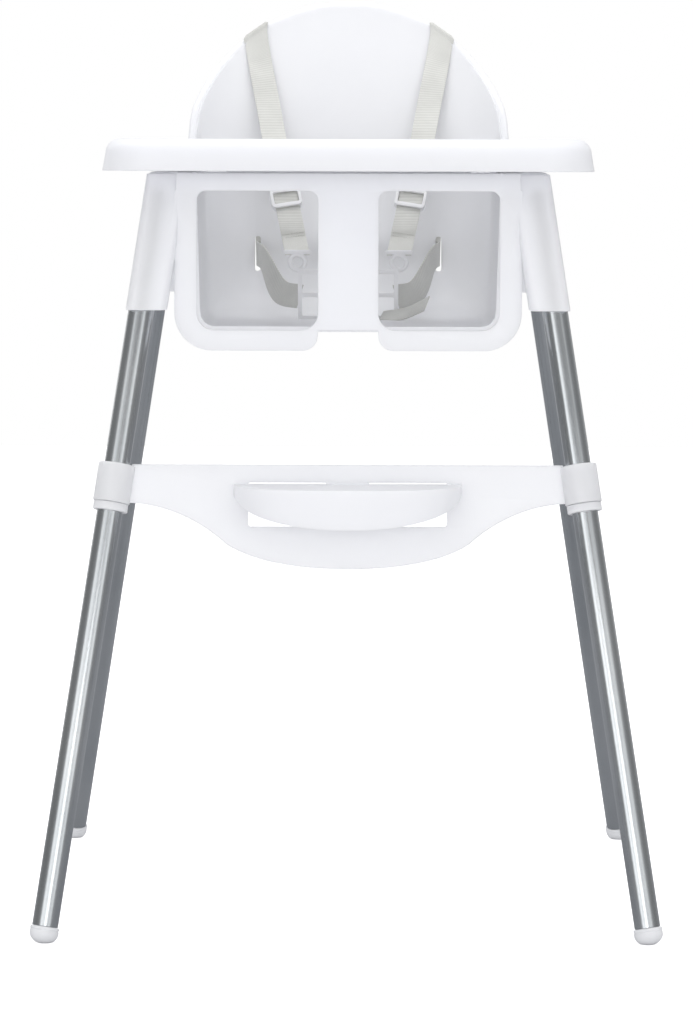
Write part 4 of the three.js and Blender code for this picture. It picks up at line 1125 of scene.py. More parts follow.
# %% [markdown]
# A collet is a split bush that wedges the footrest's ring on each tube. Most of it is inside the ring,
# and only its head shows below. Four separate fingers could be drawn, but they are one moulding: it is
# spun like the tube, and two crossed blocks cut the four slits that let it close.

# %% Collets
COLLET_SLEEVE = TUBE_RADIUS + GAP + 0.0016
COLLET_HEAD = 0.008
COLLET_LENGTH = 0.034
COLLET_SLIT = 0.0032


def make_collet(leg):
    bore = TUBE_RADIUS + GAP
    top = RING_BOTTOM * leg.stretch - GAP
    head = RING_RADIUS - 0.001
    low = top - COLLET_HEAD
    outline = [(bore, low)] + arc((head - 0.0015, low + 0.0015), 0.0015, 270, 360, 5)
    outline += arc((head - 0.0008, top - 0.0008), 0.0008, 0, 90, 3) + [(COLLET_SLEEVE, top)]
    outline += [(COLLET_SLEEVE, low + COLLET_LENGTH), (bore, low + COLLET_LENGTH)]
    collet = turned_solid("collet_" + leg.name, outline, leg.at(0), leg.up, 72)
    turn = Matrix((leg.x_axis, leg.y_axis, leg.z_axis)).transposed().to_4x4()
    for wide, deep in ((0.06, COLLET_SLIT), (COLLET_SLIT, 0.06)):
        slit = box_solid("slit", (-wide / 2, -deep / 2, top + 0.002), (wide / 2, deep / 2, top + 0.06))
        slit.data.transform(Matrix.Translation(leg.at(0)) @ turn)
        cut(collet, slit)
    return collet


for leg in front_legs:
    word = "left" if leg.side < 0 else "right"
    finish_piece(make_collet(leg), "chair", "white_plastic", "footrest_collet_" + word)

# %% [markdown]
# The harness is flat webbing, 25 mm wide. Cloth simulation would let it hang, but a tight strap has a
# route that is known. So a smooth curve is run through chosen points, a grid follows it with its width
# turned as the webbing turns, and a thin wall is added. The grid's own UV map is stretched to real
# lengths, so that the weave runs along the webbing and has one scale everywhere.

# %% Webbing
WEB_THICKNESS = 0.0014
WEB_COLUMNS = 10
FLAT = (1, 0, 0)
UPRIGHT = (0, 0, 1)


def curve_through(points, share):
    """A point of the smooth curve through some points; share 0 is the first and 1 the last."""
    place = share * (len(points) - 1)
    k = min(int(place), len(points) - 2)
    first, last = points[k], points[k + 1]
    before = points[k - 1] if k > 0 else 2 * first - last
    after = points[k + 2] if k + 2 < len(points) else 2 * last - first
    spans = [max((b - a).length, 1e-8) ** 0.5 for a, b in ((before, first), (first, last), (last, after))]
    if spans[1] < 1e-3:
        return first.lerp(last, place - k)
    if min(spans[0], spans[2]) < 1e-3:
        spans = [spans[1]] * 3
    near, mid, far = spans
    leave = ((first - before) / near - (last - before) / (near + mid) + (last - first) / mid) * mid
    arrive = ((last - first) / mid - (after - first) / (mid + far) + (after - last) / far) * mid
    t = place - k
    return (
        first + leave * t
        + (3 * (last - first) - 2 * leave - arrive) * t * t
        + (2 * (first - last) + leave + arrive) * t ** 3
    )


def make_webbing(name, stations, each):
    """Webbing along (place, width direction) stations, with so many rows from each to the next."""
    places = [Vector(at) for at, _ in stations]
    widths = [Vector(across) for _, across in stations]
    rows = (len(stations) - 1) * each
    middle = [curve_through(places, k / rows) for k in range(rows + 1)]
    lines = []
    for k, point in enumerate(middle):
        ahead = (middle[min(k + 1, rows)] - middle[max(k - 1, 0)]).normalized()
        across = curve_through(widths, k / rows).normalized()
        square = (across - ahead * across.dot(ahead)).length
        lines.append((point, across * WEB_WIDTH / max(square, 0.6)))

    def place(u, v):
        point, across = lines[round(v * rows)]
        return point + (u - 0.5) * across

    webbing = skin(name, WEB_COLUMNS, rows, place)
    length = sum((b - a).length for a, b in zip(middle, middle[1:]))
    for loop in webbing.data.uv_layers.active.data:
        loop.uv = (loop.uv.x * WEB_WIDTH, loop.uv.y * length)
    modify(webbing, "SOLIDIFY", thickness=WEB_THICKNESS, offset=0)
    modify(webbing, "BEVEL", width=0.0004, segments=2, limit_method="ANGLE", angle_limit=1)
    print(name, "is", round(length, 3), "m long")
    return webbing


# %% [markdown]
# The routes follow the frame's own: the shoulder straps go over the back's edge and down to the hooks,
# the waist strap goes round behind the back, and the crotch strap comes up through the seat to the
# buckle. A loose tail lies on the seat. Each route is a list of places with the direction of the
# webbing's width there, because a strap that turns over an edge also turns flat against it.

# %% Routes of the webbing
BUCKLE_Y = 0.006
BUCKLE_LOW = SEAT_HEIGHT + 0.018
BUCKLE_HIGH = BUCKLE_LOW + 0.046
CLIP_INNER = 0.0263
CLIP_OUTER = CLIP_INNER + 0.025
CLIP_LOW = SEAT_HEIGHT + 0.002
CLIP_HIGH = CLIP_LOW + 0.052
CLIP_MIDDLE = (CLIP_LOW + CLIP_HIGH) / 2
STANDOFF = WEB_THICKNESS / 2 + 0.001
BEHIND_WALL = back_at(0.067 + WEB_WIDTH / 2) + SHELL_WALL + STANDOFF
BEHIND_BELT = BEHIND_WALL + 2 * STANDOFF
STRAP_TOP_X = 0.098
RUN_HIGH = Vector((0.073, back_at(ARM_RISE + 0.01) - 0.042, ARM_TOP + 0.01))
RUN_LOW = Vector((0.056, BUCKLE_Y + 0.04, BUCKLE_HIGH + 0.022))


def on_side(point, side):
    return Vector((side * point[0], point[1], point[2]))


def shoulder_route(side):
    rise = math.sqrt(BACK_RADIUS ** 2 - STRAP_TOP_X ** 2)
    edge = BACK_CENTRE + rise - SEAT_HEIGHT
    turn_in = -0.2 * side  # the back curves forwards towards its sides
    slope = (rise / BACK_RADIUS, turn_in, -side * STRAP_TOP_X / BACK_RADIUS)
    slope_down = (1, turn_in, 0.5 * slope[2])
    wall = SHELL_WALL
    bead_y = back_at(edge - ROLL_RADIUS) - 0.0011 + wall / 2
    hug = ROLL_RADIUS + WEB_THICKNESS / 2 + 0.0014
    points = [
        (0.084, BEHIND_BELT + 0.002, 0.059, FLAT),
        (0.085, BEHIND_BELT + 0.005, 0.087, FLAT),
        (0.087, RIM_REAR + 0.004, ARM_RISE - ARM_DEPTH / 2, FLAT),
        (0.09, RIM_REAR + 0.009, ARM_RISE + 0.03, FLAT),
        (STRAP_TOP_X - 0.001, back_at(edge - 0.03) + wall + 0.009, edge - 0.03, slope),
        (STRAP_TOP_X, bead_y + hug, edge - ROLL_RADIUS, slope),
        (STRAP_TOP_X, bead_y + hug * 0.7, edge - ROLL_RADIUS + hug * 0.8, slope),
        (STRAP_TOP_X, bead_y - hug * 0.7, edge - ROLL_RADIUS + hug * 0.8, slope),
        (STRAP_TOP_X, bead_y - hug, edge - ROLL_RADIUS - 0.001, slope),
        (STRAP_TOP_X - 0.004, back_at(edge - 0.03) - 0.007, edge - 0.03, slope_down),
        (0.084, back_at(0.22) - 0.016, 0.22, FLAT),
    ]
    route = [((side * x, y, SEAT_HEIGHT + z), across) for x, y, z, across in points]
    route += [(on_side(RUN_LOW.lerp(RUN_HIGH, share), side), FLAT) for share in (1, 0.9, 0.1, 0)]
    route.append(((side * 0.052, BUCKLE_Y + 0.02, BUCKLE_HIGH + 0.004), FLAT))
    return route


def waist_half(side):
    wall = back_at(0.067)
    slot = WAIST_SLOT_HEIGHT
    return [
        ((side * (CLIP_OUTER - 0.002), BUCKLE_Y + 0.0045, CLIP_MIDDLE - 0.002), (-0.3 * side, 0, 1)),
        ((side * 0.069, BUCKLE_Y + 0.026, CLIP_MIDDLE + 0.002), (-0.35 * side, 0, 1)),
        ((side * (WAIST_SLOT_X - 0.005), wall - 0.04, slot - 0.003), UPRIGHT),
        ((side * WAIST_SLOT_X, wall - 0.02, slot), UPRIGHT),
        ((side * WAIST_SLOT_X, wall - 0.002, slot), UPRIGHT),
        ((side * (WAIST_SLOT_X - 0.005), BEHIND_WALL + 0.001, slot), UPRIGHT),
        ((side * (WAIST_SLOT_X - 0.028), BEHIND_WALL + 0.001, slot), UPRIGHT),
    ]


waist_route = waist_half(-1) + [((0, BEHIND_WALL, WAIST_SLOT_HEIGHT), UPRIGHT)] + waist_half(1)[::-1]
crotch_route = [
    ((0, CROTCH_SLOT_Y, SEAT_HEIGHT - 0.0082), FLAT),
    ((0, CROTCH_SLOT_Y, SEAT_HEIGHT + 0.002), FLAT),
    ((0, (CROTCH_SLOT_Y + BUCKLE_Y) / 2, SEAT_HEIGHT + 0.011), FLAT),
    ((0, BUCKLE_Y - 0.001, BUCKLE_LOW - 0.003), FLAT),
    ((0, BUCKLE_Y, BUCKLE_LOW + 0.008), FLAT),
]
tail_route = [
    ((0.034, -0.004, SEAT_HEIGHT + 0.0075), (0.2, 1, 0.3)),
    ((0.048, -0.012, SEAT_HEIGHT + 0.0085), (0.25, 1, 0.45)),
    ((0.062, -0.02, SEAT_HEIGHT + 0.012), (0.3, 1, 0.6)),
    ((0.08, -0.027, SEAT_HEIGHT + 0.021), (0.3, 1, 0.7)),
]

for side, word in ((-1, "left"), (1, "right")):
    strap = make_webbing("shoulder_webbing_" + word, shoulder_route(side), 10)
    finish_piece(strap, "chair", "webbing", "shoulder_strap_" + word)
finish_piece(make_webbing("waist_webbing", waist_route, 10), "chair", "webbing", "waist_strap")
finish_piece(make_webbing("crotch_webbing", crotch_route, 8), "chair", "webbing", "crotch_strap")
finish_piece(make_webbing("loose_tail", tail_route, 8), "chair", "webbing")

# %% [markdown]
# The lower end of each shoulder strap is held by a sewn seam. It could be drawn in the material, but
# thread stands up from webbing and catches the light. So two rows of short bars with softened ends are
# laid across the strap and joined into one piece.

# %% Stitched ends
STITCH_LENGTH = 0.0022
STITCH_RADIUS = 0.0003
STITCH_PITCH = 0.003
ROW_PITCH = 0.004


def make_stitches(name, middle, across, along, rows=2):
    """Rows of stitches across the webbing at one place, on its front face."""
    across = Vector(across).normalized()
    along = Vector(along).normalized()
    pieces = []
    count = int((WEB_WIDTH - 0.004) / STITCH_PITCH)
    for row in range(rows):
        for k in range(count + 1):
            place = middle + (k - count / 2) * STITCH_PITCH * across + row * ROW_PITCH * along
            half = across * STITCH_LENGTH / 2
            stitch = round_bar("stitch", place - half, place + half, STITCH_RADIUS, 8)
            pieces.append(soften(stitch, 0.00012, 1, 50))
    bpy.ops.object.select_all(action="DESELECT")
    for piece in pieces:
        piece.select_set(True)
    bpy.context.view_layer.objects.active = pieces[0]
    bpy.ops.object.join()
    pieces[0].name = name
    return pieces[0]


strap_face = WEB_THICKNESS / 2 + 0.0001
for side, word in ((-1, "left"), (1, "right")):
    run = on_side(RUN_HIGH - RUN_LOW, side).normalized()
    sideways = (Vector(FLAT) - run * run.dot(Vector(FLAT))).normalized()
    front = run.cross(sideways).normalized()
    front = -front if front.y > 0 else front
    seam = on_side(RUN_LOW, side) + strap_face * front
    stitches = make_stitches("strap_stitches_" + word, seam, sideways, run)
    finish_piece(stitches, "chair", "webbing")

# %% [markdown]
# A slider on each shoulder strap sets its length. It is a frame with a bar across it: the webbing goes
# behind the ends and over the bar. It could be bent from a rod, but the real one is moulded flat. So it
# is an outline with its windows cut out and room cut for the webbing, and every edge is rounded, because
# it is the edges that catch the light. It is made lying flat and then turned onto its strap.

# %% Sliders
SLIDER_BAR = 0.004
SLIDER_HALF_LENGTH = 0.011
SLIDER_PLATE = 0.0024
SLIDER_INNER = WEB_WIDTH / 2 + 0.0004
SLIDER_OUTER = SLIDER_INNER + SLIDER_BAR * 0.7
SLIDER_SKIN = WEB_THICKNESS / 2 + 0.0008
PAST = 0.02  # a cutting block reaches this far, past any face of a fitting


def make_slider(name, side):
    depth = SLIDER_SKIN + SLIDER_PLATE
    outline = rounded_box(-SLIDER_OUTER, SLIDER_OUTER, -SLIDER_HALF_LENGTH, SLIDER_HALF_LENGTH, 0.004)
    slider = outline_solid(name, front_view(outline, -depth), (0, 2 * depth, 0))
    high = SLIDER_HALF_LENGTH - SLIDER_BAR
    for end in (-1, 1):
        low, top = sorted((end * SLIDER_BAR / 2, end * high))
        window = rounded_box(-SLIDER_INNER, SLIDER_INNER, low, top, 0.0012)
        cut(slider, outline_solid("window", front_view(window, -PAST), (0, 2 * PAST, 0)))
        first, last = sorted((end * high, end * PAST))
        cut(slider, box_solid("behind", (-SLIDER_INNER, -SLIDER_SKIN, first), (SLIDER_INNER, PAST, last)))
    middle = SLIDER_BAR / 2 + 0.001
    cut(slider, box_solid("before", (-SLIDER_INNER, -PAST, -middle), (SLIDER_INNER, SLIDER_SKIN, middle)))
    soften(slider, 0.0006, 3, 50)
    along = on_side(RUN_HIGH - RUN_LOW, side).normalized()
    across = (Vector(FLAT) - along * along.x).normalized()
    turn = Matrix((across, along.cross(across), along)).transposed().to_4x4()
    slider.data.transform(Matrix.Translation(on_side((RUN_HIGH + RUN_LOW) / 2, side)) @ turn)
    return slider


print("slider:", round(2 * SLIDER_OUTER, 4), "m wide,", 2 * SLIDER_HALF_LENGTH, "m long")

# %% [markdown]
# A hook hangs from each shoulder strap and drops over the ladder clip. It is a ring with a bar on top
# that the webbing is sewn round. A torus and a cube would be close, but a spun outline gives the ring
# its flat section with round corners.

# %% Hooks
HOOK_X = 0.052
HOOK_Y = BUCKLE_Y + 0.014
HOOK_HEIGHT = BUCKLE_HIGH - 0.003
HOOK_HOLE = 0.0055
HOOK_RADIUS = 0.01
HOOK_HALF_DEPTH = 0.0025
HOOK_BAR_HALF_WIDTH = 0.014


def make_hook(name, side):
    ring = rounded_box(HOOK_HOLE, HOOK_RADIUS, -HOOK_HALF_DEPTH, HOOK_HALF_DEPTH, 0.0016, steps=5)
    hook = turned_solid(name, ring, (side * HOOK_X, HOOK_Y, HOOK_HEIGHT), (0, -1, 0), 40)
    low = HOOK_HEIGHT + 0.008
    left, right = side * HOOK_X - HOOK_BAR_HALF_WIDTH, side * HOOK_X + HOOK_BAR_HALF_WIDTH
    bar = rounded_box(left, right, low, low + 0.0045, 0.0018)
    bar = outline_solid("bar", front_view(bar, HOOK_Y - HOOK_HALF_DEPTH), (0, 2 * HOOK_HALF_DEPTH, 0))
    return unite(hook, soften(bar, 0.0009, 3, 50))


print("hook ring:", 2 * HOOK_RADIUS, "m across,", 2 * HOOK_HOLE, "m inside")

# %% [markdown]
# A ladder clip ends the waist strap on each side. The webbing loops through its two windows, and its
# tongue plugs into the buckle. It is cut from an outline like the slider; the tongue is a softened block
# that is joined on afterwards, because it is thinner than the frame. Then slider, hook and clip are made
# for each side.

# %% Ladder clips
CLIP_BAR = 0.0045
TONGUE_LENGTH = 0.011
TONGUE_HALF_WIDTH = 0.006


def make_clip(name, side):
    near = BUCKLE_Y - 0.002
    left, right = sorted((side * CLIP_INNER, side * CLIP_OUTER))
    frame_outline = rounded_box(left, right, CLIP_LOW, CLIP_HIGH, 0.003)
    clip = outline_solid(name, front_view(frame_outline, near), (0, 0.004, 0))
    for low, high in (
        (CLIP_LOW + CLIP_BAR, CLIP_MIDDLE - CLIP_BAR / 2), (CLIP_MIDDLE + CLIP_BAR / 2, CLIP_HIGH - CLIP_BAR),
    ):
        window = rounded_box(left + CLIP_BAR, right - CLIP_BAR, low, high, 0.0015)
        cut(clip, outline_solid("window", front_view(window, near - 0.01), (0, 0.03, 0)))
    soften(clip, 0.0008, 3, 50)
    inner, outer = sorted((side * (CLIP_INNER - TONGUE_LENGTH), side * (CLIP_INNER + 0.001)))
    tongue = box_solid(
        "tongue", (inner, near + 0.0002, CLIP_MIDDLE - TONGUE_HALF_WIDTH),
        (outer, near + 0.0038, CLIP_MIDDLE + TONGUE_HALF_WIDTH),
    )
    return unite(clip, soften(tongue, 0.0008, 2))


for side, word in ((-1, "left"), (1, "right")):
    slider = make_slider("slider_frame_" + word, side)
    finish_piece(slider, "slider_" + word, "fitting_plastic", "strap_slider_" + word)
    finish_piece(make_hook("hook_" + word, side), "chair", "fitting_plastic", "hook_fitting_" + word)
    finish_piece(make_clip("clip_" + word, side), "chair", "fitting_plastic", "ladder_clip_" + word)

# %% [markdown]
# The buckle joins both clips and the crotch strap behind the post. It is a thick rounded case, with a
# pocket on each side for a tongue, a mouth below for the webbing and a well in front for the button. The
# openings are cut from a solid case, which is quicker than building two half shells and looks the same.

# %% Buckle
BUCKLE_HALF_WIDTH = 0.026
BUCKLE_DEPTH = 0.016
BUCKLE_FRONT = BUCKLE_Y - BUCKLE_DEPTH / 2
RELEASE_RADIUS = 0.009


def make_buckle():
    outline = rounded_box(-BUCKLE_HALF_WIDTH, BUCKLE_HALF_WIDTH, BUCKLE_LOW, BUCKLE_HIGH, 0.009, steps=12)
    buckle = outline_solid("buckle_case", front_view(outline, BUCKLE_FRONT), (0, BUCKLE_DEPTH, 0))
    soften(buckle, 0.003, 5, 50)
    for side in (-1, 1):
        inner = side * (CLIP_INNER - TONGUE_LENGTH - GAP)
        left, right = sorted((inner, side * (BUCKLE_HALF_WIDTH + 0.005)))
        pocket = box_solid(
            "pocket", (left, BUCKLE_Y - 0.0023, CLIP_MIDDLE - 0.0063),
            (right, BUCKLE_Y + 0.0023, CLIP_MIDDLE + 0.0063),
        )
        cut(buckle, pocket)
    middle = Vector((0, BUCKLE_FRONT, CLIP_MIDDLE))
    reach = Vector((0, 0.005, 0))
    cut(buckle, round_bar("press", middle - reach, middle + reach, RELEASE_RADIUS + 0.0004, 64))
    half = WEB_WIDTH / 2 + 0.001
    low = (-half, BUCKLE_Y - 0.002, BUCKLE_LOW - 0.005)
    return cut(buckle, box_solid("mouth", low, (half, BUCKLE_Y + 0.002, BUCKLE_LOW + 0.01)))


finish_piece(make_buckle(), "chair", "fitting_plastic", "buckle_body")

# %% [markdown]
# The release is a round button with a dished face for the thumb. It is turned, like the leg buttons,
# about an axis that points out of the buckle.

# %% Release button


def make_release():
    outline = [(0, -0.0015), (RELEASE_RADIUS - 0.0003, -0.0015), (RELEASE_RADIUS, -0.0012)]
    outline += arc((RELEASE_RADIUS - 0.0012, 0.0006), 0.0012, 0, 90, 6)
    outline += [(0.0055, 0.0015), (0.003, 0.0009), (0, 0.0007)]
    return turned_solid("release_button", outline, (0, BUCKLE_FRONT, CLIP_MIDDLE), (0, -1, 0), 56)


finish_piece(make_release(), "release", "fitting_plastic", "buckle_release")

# %% [markdown]
# Under the seat a small bar keeps the crotch strap from pulling through its slot. It is an outline with
# a slot of its own, pressed against the bottom of the bucket.

# %% Keeper bar


def make_keeper():
    half = WEB_WIDTH / 2 + 0.009
    top = SEAT_HEIGHT - SHELL_WALL - GAP
    bar = rounded_box(-half, half, CROTCH_SLOT_Y - 0.008, CROTCH_SLOT_Y + 0.008, 0.003)
    keeper = outline_solid("keeper_bar", top_view(bar, top - 0.004), (0, 0, 0.004))
    soften(keeper, 0.0007, 3, 50)
    web = WEB_WIDTH / 2 + 0.001
    slot = rounded_box(
        -web, web, CROTCH_SLOT_Y - SLOT_HALF_OPENING, CROTCH_SLOT_Y + SLOT_HALF_OPENING, 0.0025,
    )
    return cut(keeper, outline_solid("slot", top_view(slot, top - 0.01), (0, 0, 0.02)))


finish_piece(make_keeper(), "chair", "fitting_plastic", "crotch_keeper")

# %% [markdown]
# Moulded plastic is never quite even. One node group gives every finish its grain: a fine height, a
# slow mottle and a patchiness, each from noise in object coordinates, so nothing slides when a piece
# moves. The same noise could be built in each material, but a group is made once and placed in all.

# %% Grain group


def group_with(name, inputs, outputs):
    """An empty node group with named number inputs and outputs."""
    tree = bpy.data.node_groups.new(name, "ShaderNodeTree")
    for label, value in inputs:
        socket = tree.interface.new_socket(name=label, in_out="INPUT", socket_type="NodeSocketFloat")
        socket.default_value = value
    for label in outputs:
        tree.interface.new_socket(name=label, in_out="OUTPUT", socket_type="NodeSocketFloat")
    return tree, tree.nodes.new("NodeGroupInput"), tree.nodes.new("NodeGroupOutput")


def noise_in(tree, coordinates, scale, detail):
    """A noise texture; scale is a number, or a socket that gives one."""
    noise = add_node(tree, "TexNoise")
    noise.inputs["Detail"].default_value = detail
    link(tree, coordinates, noise.inputs["Vector"])
    if isinstance(scale, (int, float)):
        noise.inputs["Scale"].default_value = scale
    else:
        link(tree, scale, noise.inputs["Scale"])
    return noise.outputs[0]


def spread(tree, source, low, high, start=0, stop=1):
    """Turns a value between start and stop into one between two levels."""
    node = add_node(tree, "MapRange")
    for label, value in (("From Min", start), ("From Max", stop), ("To Min", low), ("To Max", high)):
        node.inputs[label].default_value = value
    link(tree, source, node.inputs["Value"])
    return node.outputs[0]


def even(tree, noise):
    """Stretches the middle of a noise to the range from 0 to 1."""
    return spread(tree, noise, 0, 1, 0.3, 0.7)


def make_grain():
    tree, given, result = group_with(
        "moulded grain", [("Grain Scale", 900.0), ("Patch Scale", 9.0)], ["Height", "Mottle", "Patch"],
    )
    where = add_node(tree, "TexCoord").outputs["Object"]
    fine = noise_in(tree, where, given.outputs["Grain Scale"], 2)
    slow = noise_in(tree, where, given.outputs["Patch Scale"], 4)
    link(tree, fine, result.inputs["Height"])
    link(tree, even(tree, slow), result.inputs["Mottle"])
    link(tree, even(tree, noise_in(tree, where, 60, 3)), result.inputs["Patch"])
    return tree


grain = make_grain()
print("grain group:", len(grain.nodes), "nodes")

# %% [markdown]
# Webbing is a plain weave: two sets of threads cross. They could be modelled, but there are thousands of
# them, so a bump does it. Each set is a row of round humps, the higher of the two is on top, and the
# gaps between them are painted dark, as painted shade. The pattern reads the piece's own UV map, which is in
# metres.

# %% Weave group
THREADS_ACROSS = 900  # per metre
THREADS_ALONG = 620
LOWER_THREADS = 0.75  # height of the threads across, beside those along


def thread(tree, source, count):
    """A row of round threads: a raised hump for each, from 0 to 1."""
    scaled = add_node(tree, "Math", operation="MULTIPLY")
    link(tree, source, scaled.inputs[0])
    scaled.inputs[1].default_value = count * math.pi
    wave = add_node(tree, "Math", operation="SINE")
    link(tree, scaled.outputs[0], wave.inputs[0])
    hump = add_node(tree, "Math", operation="ABSOLUTE")
    link(tree, wave.outputs[0], hump.inputs[0])
    return hump.outputs[0]


def make_weave():
    tree, given, result = group_with("webbing weave", [("Wander", 0.0002)], ["Height", "Shade"])
    where = add_node(tree, "TexCoord").outputs["UV"]
    drift = noise_in(tree, where, 160, 2)
    moved = add_node(tree, "VectorMath", operation="MULTIPLY_ADD")
    link(tree, drift, moved.inputs[0])
    link(tree, given.outputs["Wander"], moved.inputs[1])
    link(tree, where, moved.inputs[2])
    split = add_node(tree, "SeparateXYZ")
    link(tree, moved.outputs[0], split.inputs[0])
    across = thread(tree, split.outputs["X"], THREADS_ACROSS)
    along = thread(tree, split.outputs["Y"], THREADS_ALONG)
    over = add_node(tree, "Math", operation="MAXIMUM")
    lower = add_node(tree, "Math", operation="MULTIPLY")
    link(tree, across, lower.inputs[0])
    lower.inputs[1].default_value = LOWER_THREADS
    link(tree, along, over.inputs[0])
    link(tree, lower.outputs[0], over.inputs[1])
    link(tree, over.outputs[0], result.inputs["Height"])
    # painted shade: the product is low wherever either thread dips, so the gaps between threads come out dark
    both = add_node(tree, "Math", operation="MULTIPLY")
    link(tree, across, both.inputs[0])
    link(tree, along, both.inputs[1])
    link(tree, both.outputs[0], result.inputs["Shade"])
    return tree


weave = make_weave()
print("weave group:", len(weave.nodes), "nodes")

# %% [markdown]
# The white mouldings let some light through, and their surface is satin. A material is a Principled
# shader with its constants set on its own sockets. What changes over the surface comes from the groups:
# colour between two tones, roughness between two levels, and a bump. One maker serves all the plastics
# and the springs, because only their numbers differ.

# %% Plastic finishes
GRAIN_DEPTH = 0.0002


def mix_tones(tree, dark, light, factor):
    node = add_node(tree, "Mix", data_type="RGBA")
    node.inputs["A"].default_value = (*dark, 1)
    node.inputs["B"].default_value = (*light, 1)
    link(tree, factor, node.inputs[0])
    return node.outputs["Result"]


def new_material(name, **constants):
    material = bpy.data.materials.new(name)
    material.use_nodes = True
    shader = material.node_tree.nodes["Principled BSDF"]
    for label, value in constants.items():
        shader.inputs[label.replace("_", " ")].default_value = value
    return material, material.node_tree, shader


def use_group(tree, group, **values):
    node = tree.nodes.new("ShaderNodeGroup")
    node.node_tree = group
    for label, value in values.items():
        node.inputs[label.replace("_", " ")].default_value = value
    return node


def bump_from(tree, shader, height, strength, distance):
    bump = add_node(tree, "Bump")
    bump.inputs["Strength"].default_value = strength
    bump.inputs["Distance"].default_value = distance
    link(tree, height, bump.inputs["Height"])
    link(tree, bump.outputs[0], shader.inputs["Normal"])


def plastic(name, dark, light, rough, grain_scale, patch_scale, bump, **constants):
    material, tree, shader = new_material(name, **constants)
    look = use_group(tree, grain, Grain_Scale=grain_scale, Patch_Scale=patch_scale)
    link(tree, mix_tones(tree, dark, light, look.outputs["Mottle"]), shader.inputs["Base Color"])
    link(tree, spread(tree, look.outputs["Patch"], *rough), shader.inputs["Roughness"])
    bump_from(tree, shader, look.outputs["Height"], bump, GRAIN_DEPTH)
    print(name, "- roughness", rough)
    return material


materials = {
    "white_plastic": plastic(
        "satin_white", (0.87, 0.875, 0.905), (0.9, 0.905, 0.93), (0.34, 0.46), 1400, 6, 0.06,
        Subsurface_Weight=0.65, Subsurface_Radius=(1, 1, 1), Subsurface_Scale=0.012, IOR=1.5,
    ),
    "foot_plastic": plastic(
        "foot_white", (0.78, 0.785, 0.8), (0.84, 0.845, 0.86), (0.42, 0.56), 900, 25, 0.15, IOR=1.5,
    ),
    "fitting_plastic": plastic(
        "fitting_white", (0.9, 0.9, 0.91), (0.95, 0.95, 0.96), (0.3, 0.42), 1800, 30, 0.08, IOR=1.5,
    ),
    "spring_steel": plastic(
        "spring_steel", (0.52, 0.53, 0.55), (0.62, 0.63, 0.65), (0.22, 0.36), 1200, 40, 0.05, Metallic=1.0,
    ),
}

# %% [markdown]
# The legs are drawn steel tube with a satin plating. Its fine lines run along the tube, so the noise is
# stretched along the height before it sets the roughness. Painted lines would do from the front only;
# this goes all the way round.

# %% Steel
STEEL_DARK = (0.47, 0.495, 0.515)
STEEL_LIGHT = (0.57, 0.59, 0.605)
LINE_STRETCH = (1, 1, 0.02)


def make_steel():
    material, tree, shader = new_material("satin_steel", Metallic=1.0, Anisotropic=0.3)
    where = add_node(tree, "TexCoord").outputs["Object"]
    stretched = add_node(tree, "Mapping")
    stretched.inputs["Scale"].default_value = LINE_STRETCH
    link(tree, where, stretched.inputs["Vector"])
    streaks = noise_in(tree, stretched.outputs[0], 900, 3)
    look = use_group(tree, grain, Grain_Scale=500, Patch_Scale=7)
    tone = mix_tones(tree, STEEL_DARK, STEEL_LIGHT, look.outputs["Mottle"])
    link(tree, tone, shader.inputs["Base Color"])
    link(tree, spread(tree, streaks, 0.2, 0.29), shader.inputs["Roughness"])
    bump_from(tree, shader, streaks, 0.02, 0.0001)
    return material


materials["steel"] = make_steel()
print("steel: lines", 1 / LINE_STRETCH[2], "times as long as wide")

# %% [markdown]
# The webbing is pale grey thread. It takes its height, and its gaps painted dark as painted shade, from the
# weave group, and a slow mottle from the grain group, because a flat colour looks like paper. A little sheen
# lightens it where it turns away, as fibres do.

# %% Webbing finish
# THREAD_DARK is the painted shade in the gaps of the weave, THREAD_LIGHT the thread itself
THREAD_DARK = (0.69, 0.69, 0.65)
THREAD_LIGHT = (0.85, 0.85, 0.81)


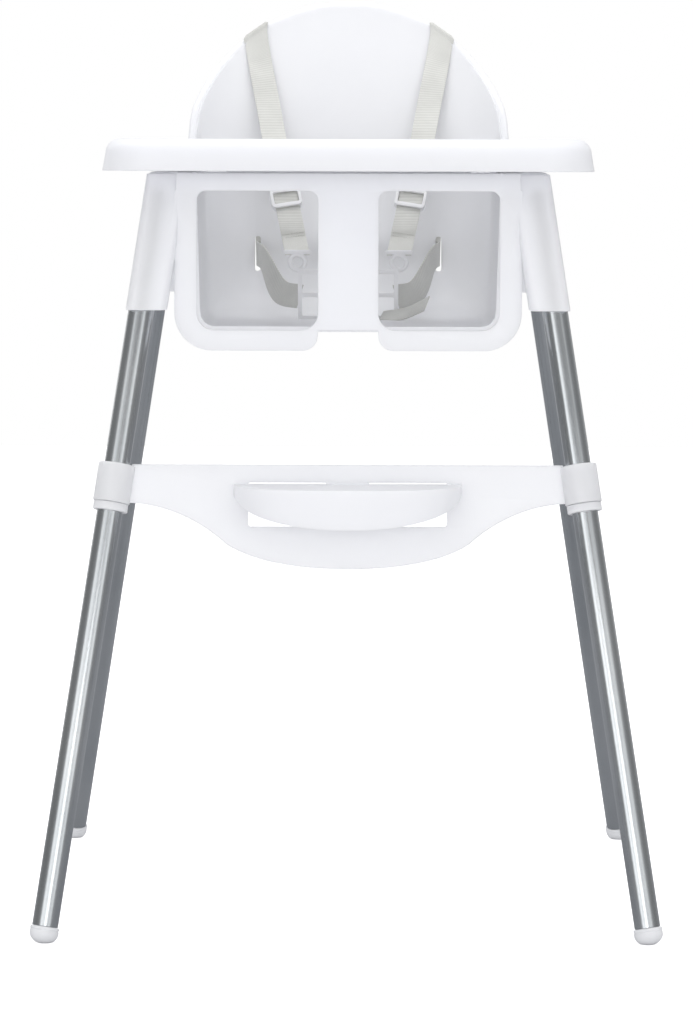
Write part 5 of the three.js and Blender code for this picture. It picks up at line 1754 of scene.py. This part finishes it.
def make_webbing_material():
    material, tree, shader = new_material(
        "woven_webbing", Roughness=0.85, Sheen_Weight=0.25, Sheen_Roughness=0.4,
    )
    look = use_group(tree, weave)
    tint = use_group(tree, grain, Grain_Scale=2500, Patch_Scale=30)
    # painted shade: the colour darkens to THREAD_DARK in the gaps between threads
    lit = mix_tones(tree, THREAD_DARK, THREAD_LIGHT, look.outputs["Shade"])
    worn = add_node(tree, "Mix", data_type="RGBA", blend_type="MULTIPLY")
    link(tree, lit, worn.inputs["A"])
    link(tree, mix_tones(tree, (0.88, 0.88, 0.88), (1, 1, 1), tint.outputs["Mottle"]), worn.inputs["B"])
    worn.inputs[0].default_value = 1
    link(tree, worn.outputs["Result"], shader.inputs["Base Color"])
    bump_from(tree, shader, look.outputs["Height"], 0.6, 0.0003)
    return material


materials["webbing"] = make_webbing_material()
print("webbing:", THREADS_ACROSS, "threads per metre of width")

# %% [markdown]
# Each piece now gets the finish that it was registered with. The springs inside the legs come from the
# frame as they are, and only need a material.

# %% Dressing the pieces


def dress(piece, material):
    piece.data.materials.clear()
    piece.data.materials.append(material)


for name, slot in finished.items():
    dress(bpy.data.objects[name], materials[slot])
for leg in legs:
    dress(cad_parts["button_spring_" + leg.name], materials["spring_steel"])
print("dressed", len(finished) + len(legs), "pieces")

# %% [markdown]
# The floor is pale and plain. Seen straight it glows a little, so that it runs into the white walls
# without a line, and steel reflects it darker than it looks. A white card would do the first but would
# wash the legs out.

# %% Floor finish
FLOOR_GLOW = 0.75
FLOOR_IN_STEEL = (0.36, 0.365, 0.38, 1)
floor_look, floor_tree, floor_shader = new_material("pale_floor", Roughness=0.7)
patches = use_group(floor_tree, grain, Grain_Scale=40, Patch_Scale=0.6)
floor_tone = mix_tones(floor_tree, (0.7, 0.7, 0.71), (0.74, 0.74, 0.75), patches.outputs["Mottle"])
rays = add_node(floor_tree, "LightPath")
reflected = add_node(floor_tree, "Mix", data_type="RGBA")
reflected.inputs["B"].default_value = FLOOR_IN_STEEL
link(floor_tree, rays.outputs["Is Glossy Ray"], reflected.inputs[0])
link(floor_tree, floor_tone, reflected.inputs["A"])
link(floor_tree, reflected.outputs["Result"], floor_shader.inputs["Base Color"])
floor_shader.inputs["Emission Color"].default_value = (1, 1, 1, 1)
glow = spread(floor_tree, rays.outputs["Is Camera Ray"], 0, FLOOR_GLOW)
link(floor_tree, glow, floor_shader.inputs["Emission Strength"])
dress(floor, floor_look)
print("floor:", FLOOR_SIZE, "m square")
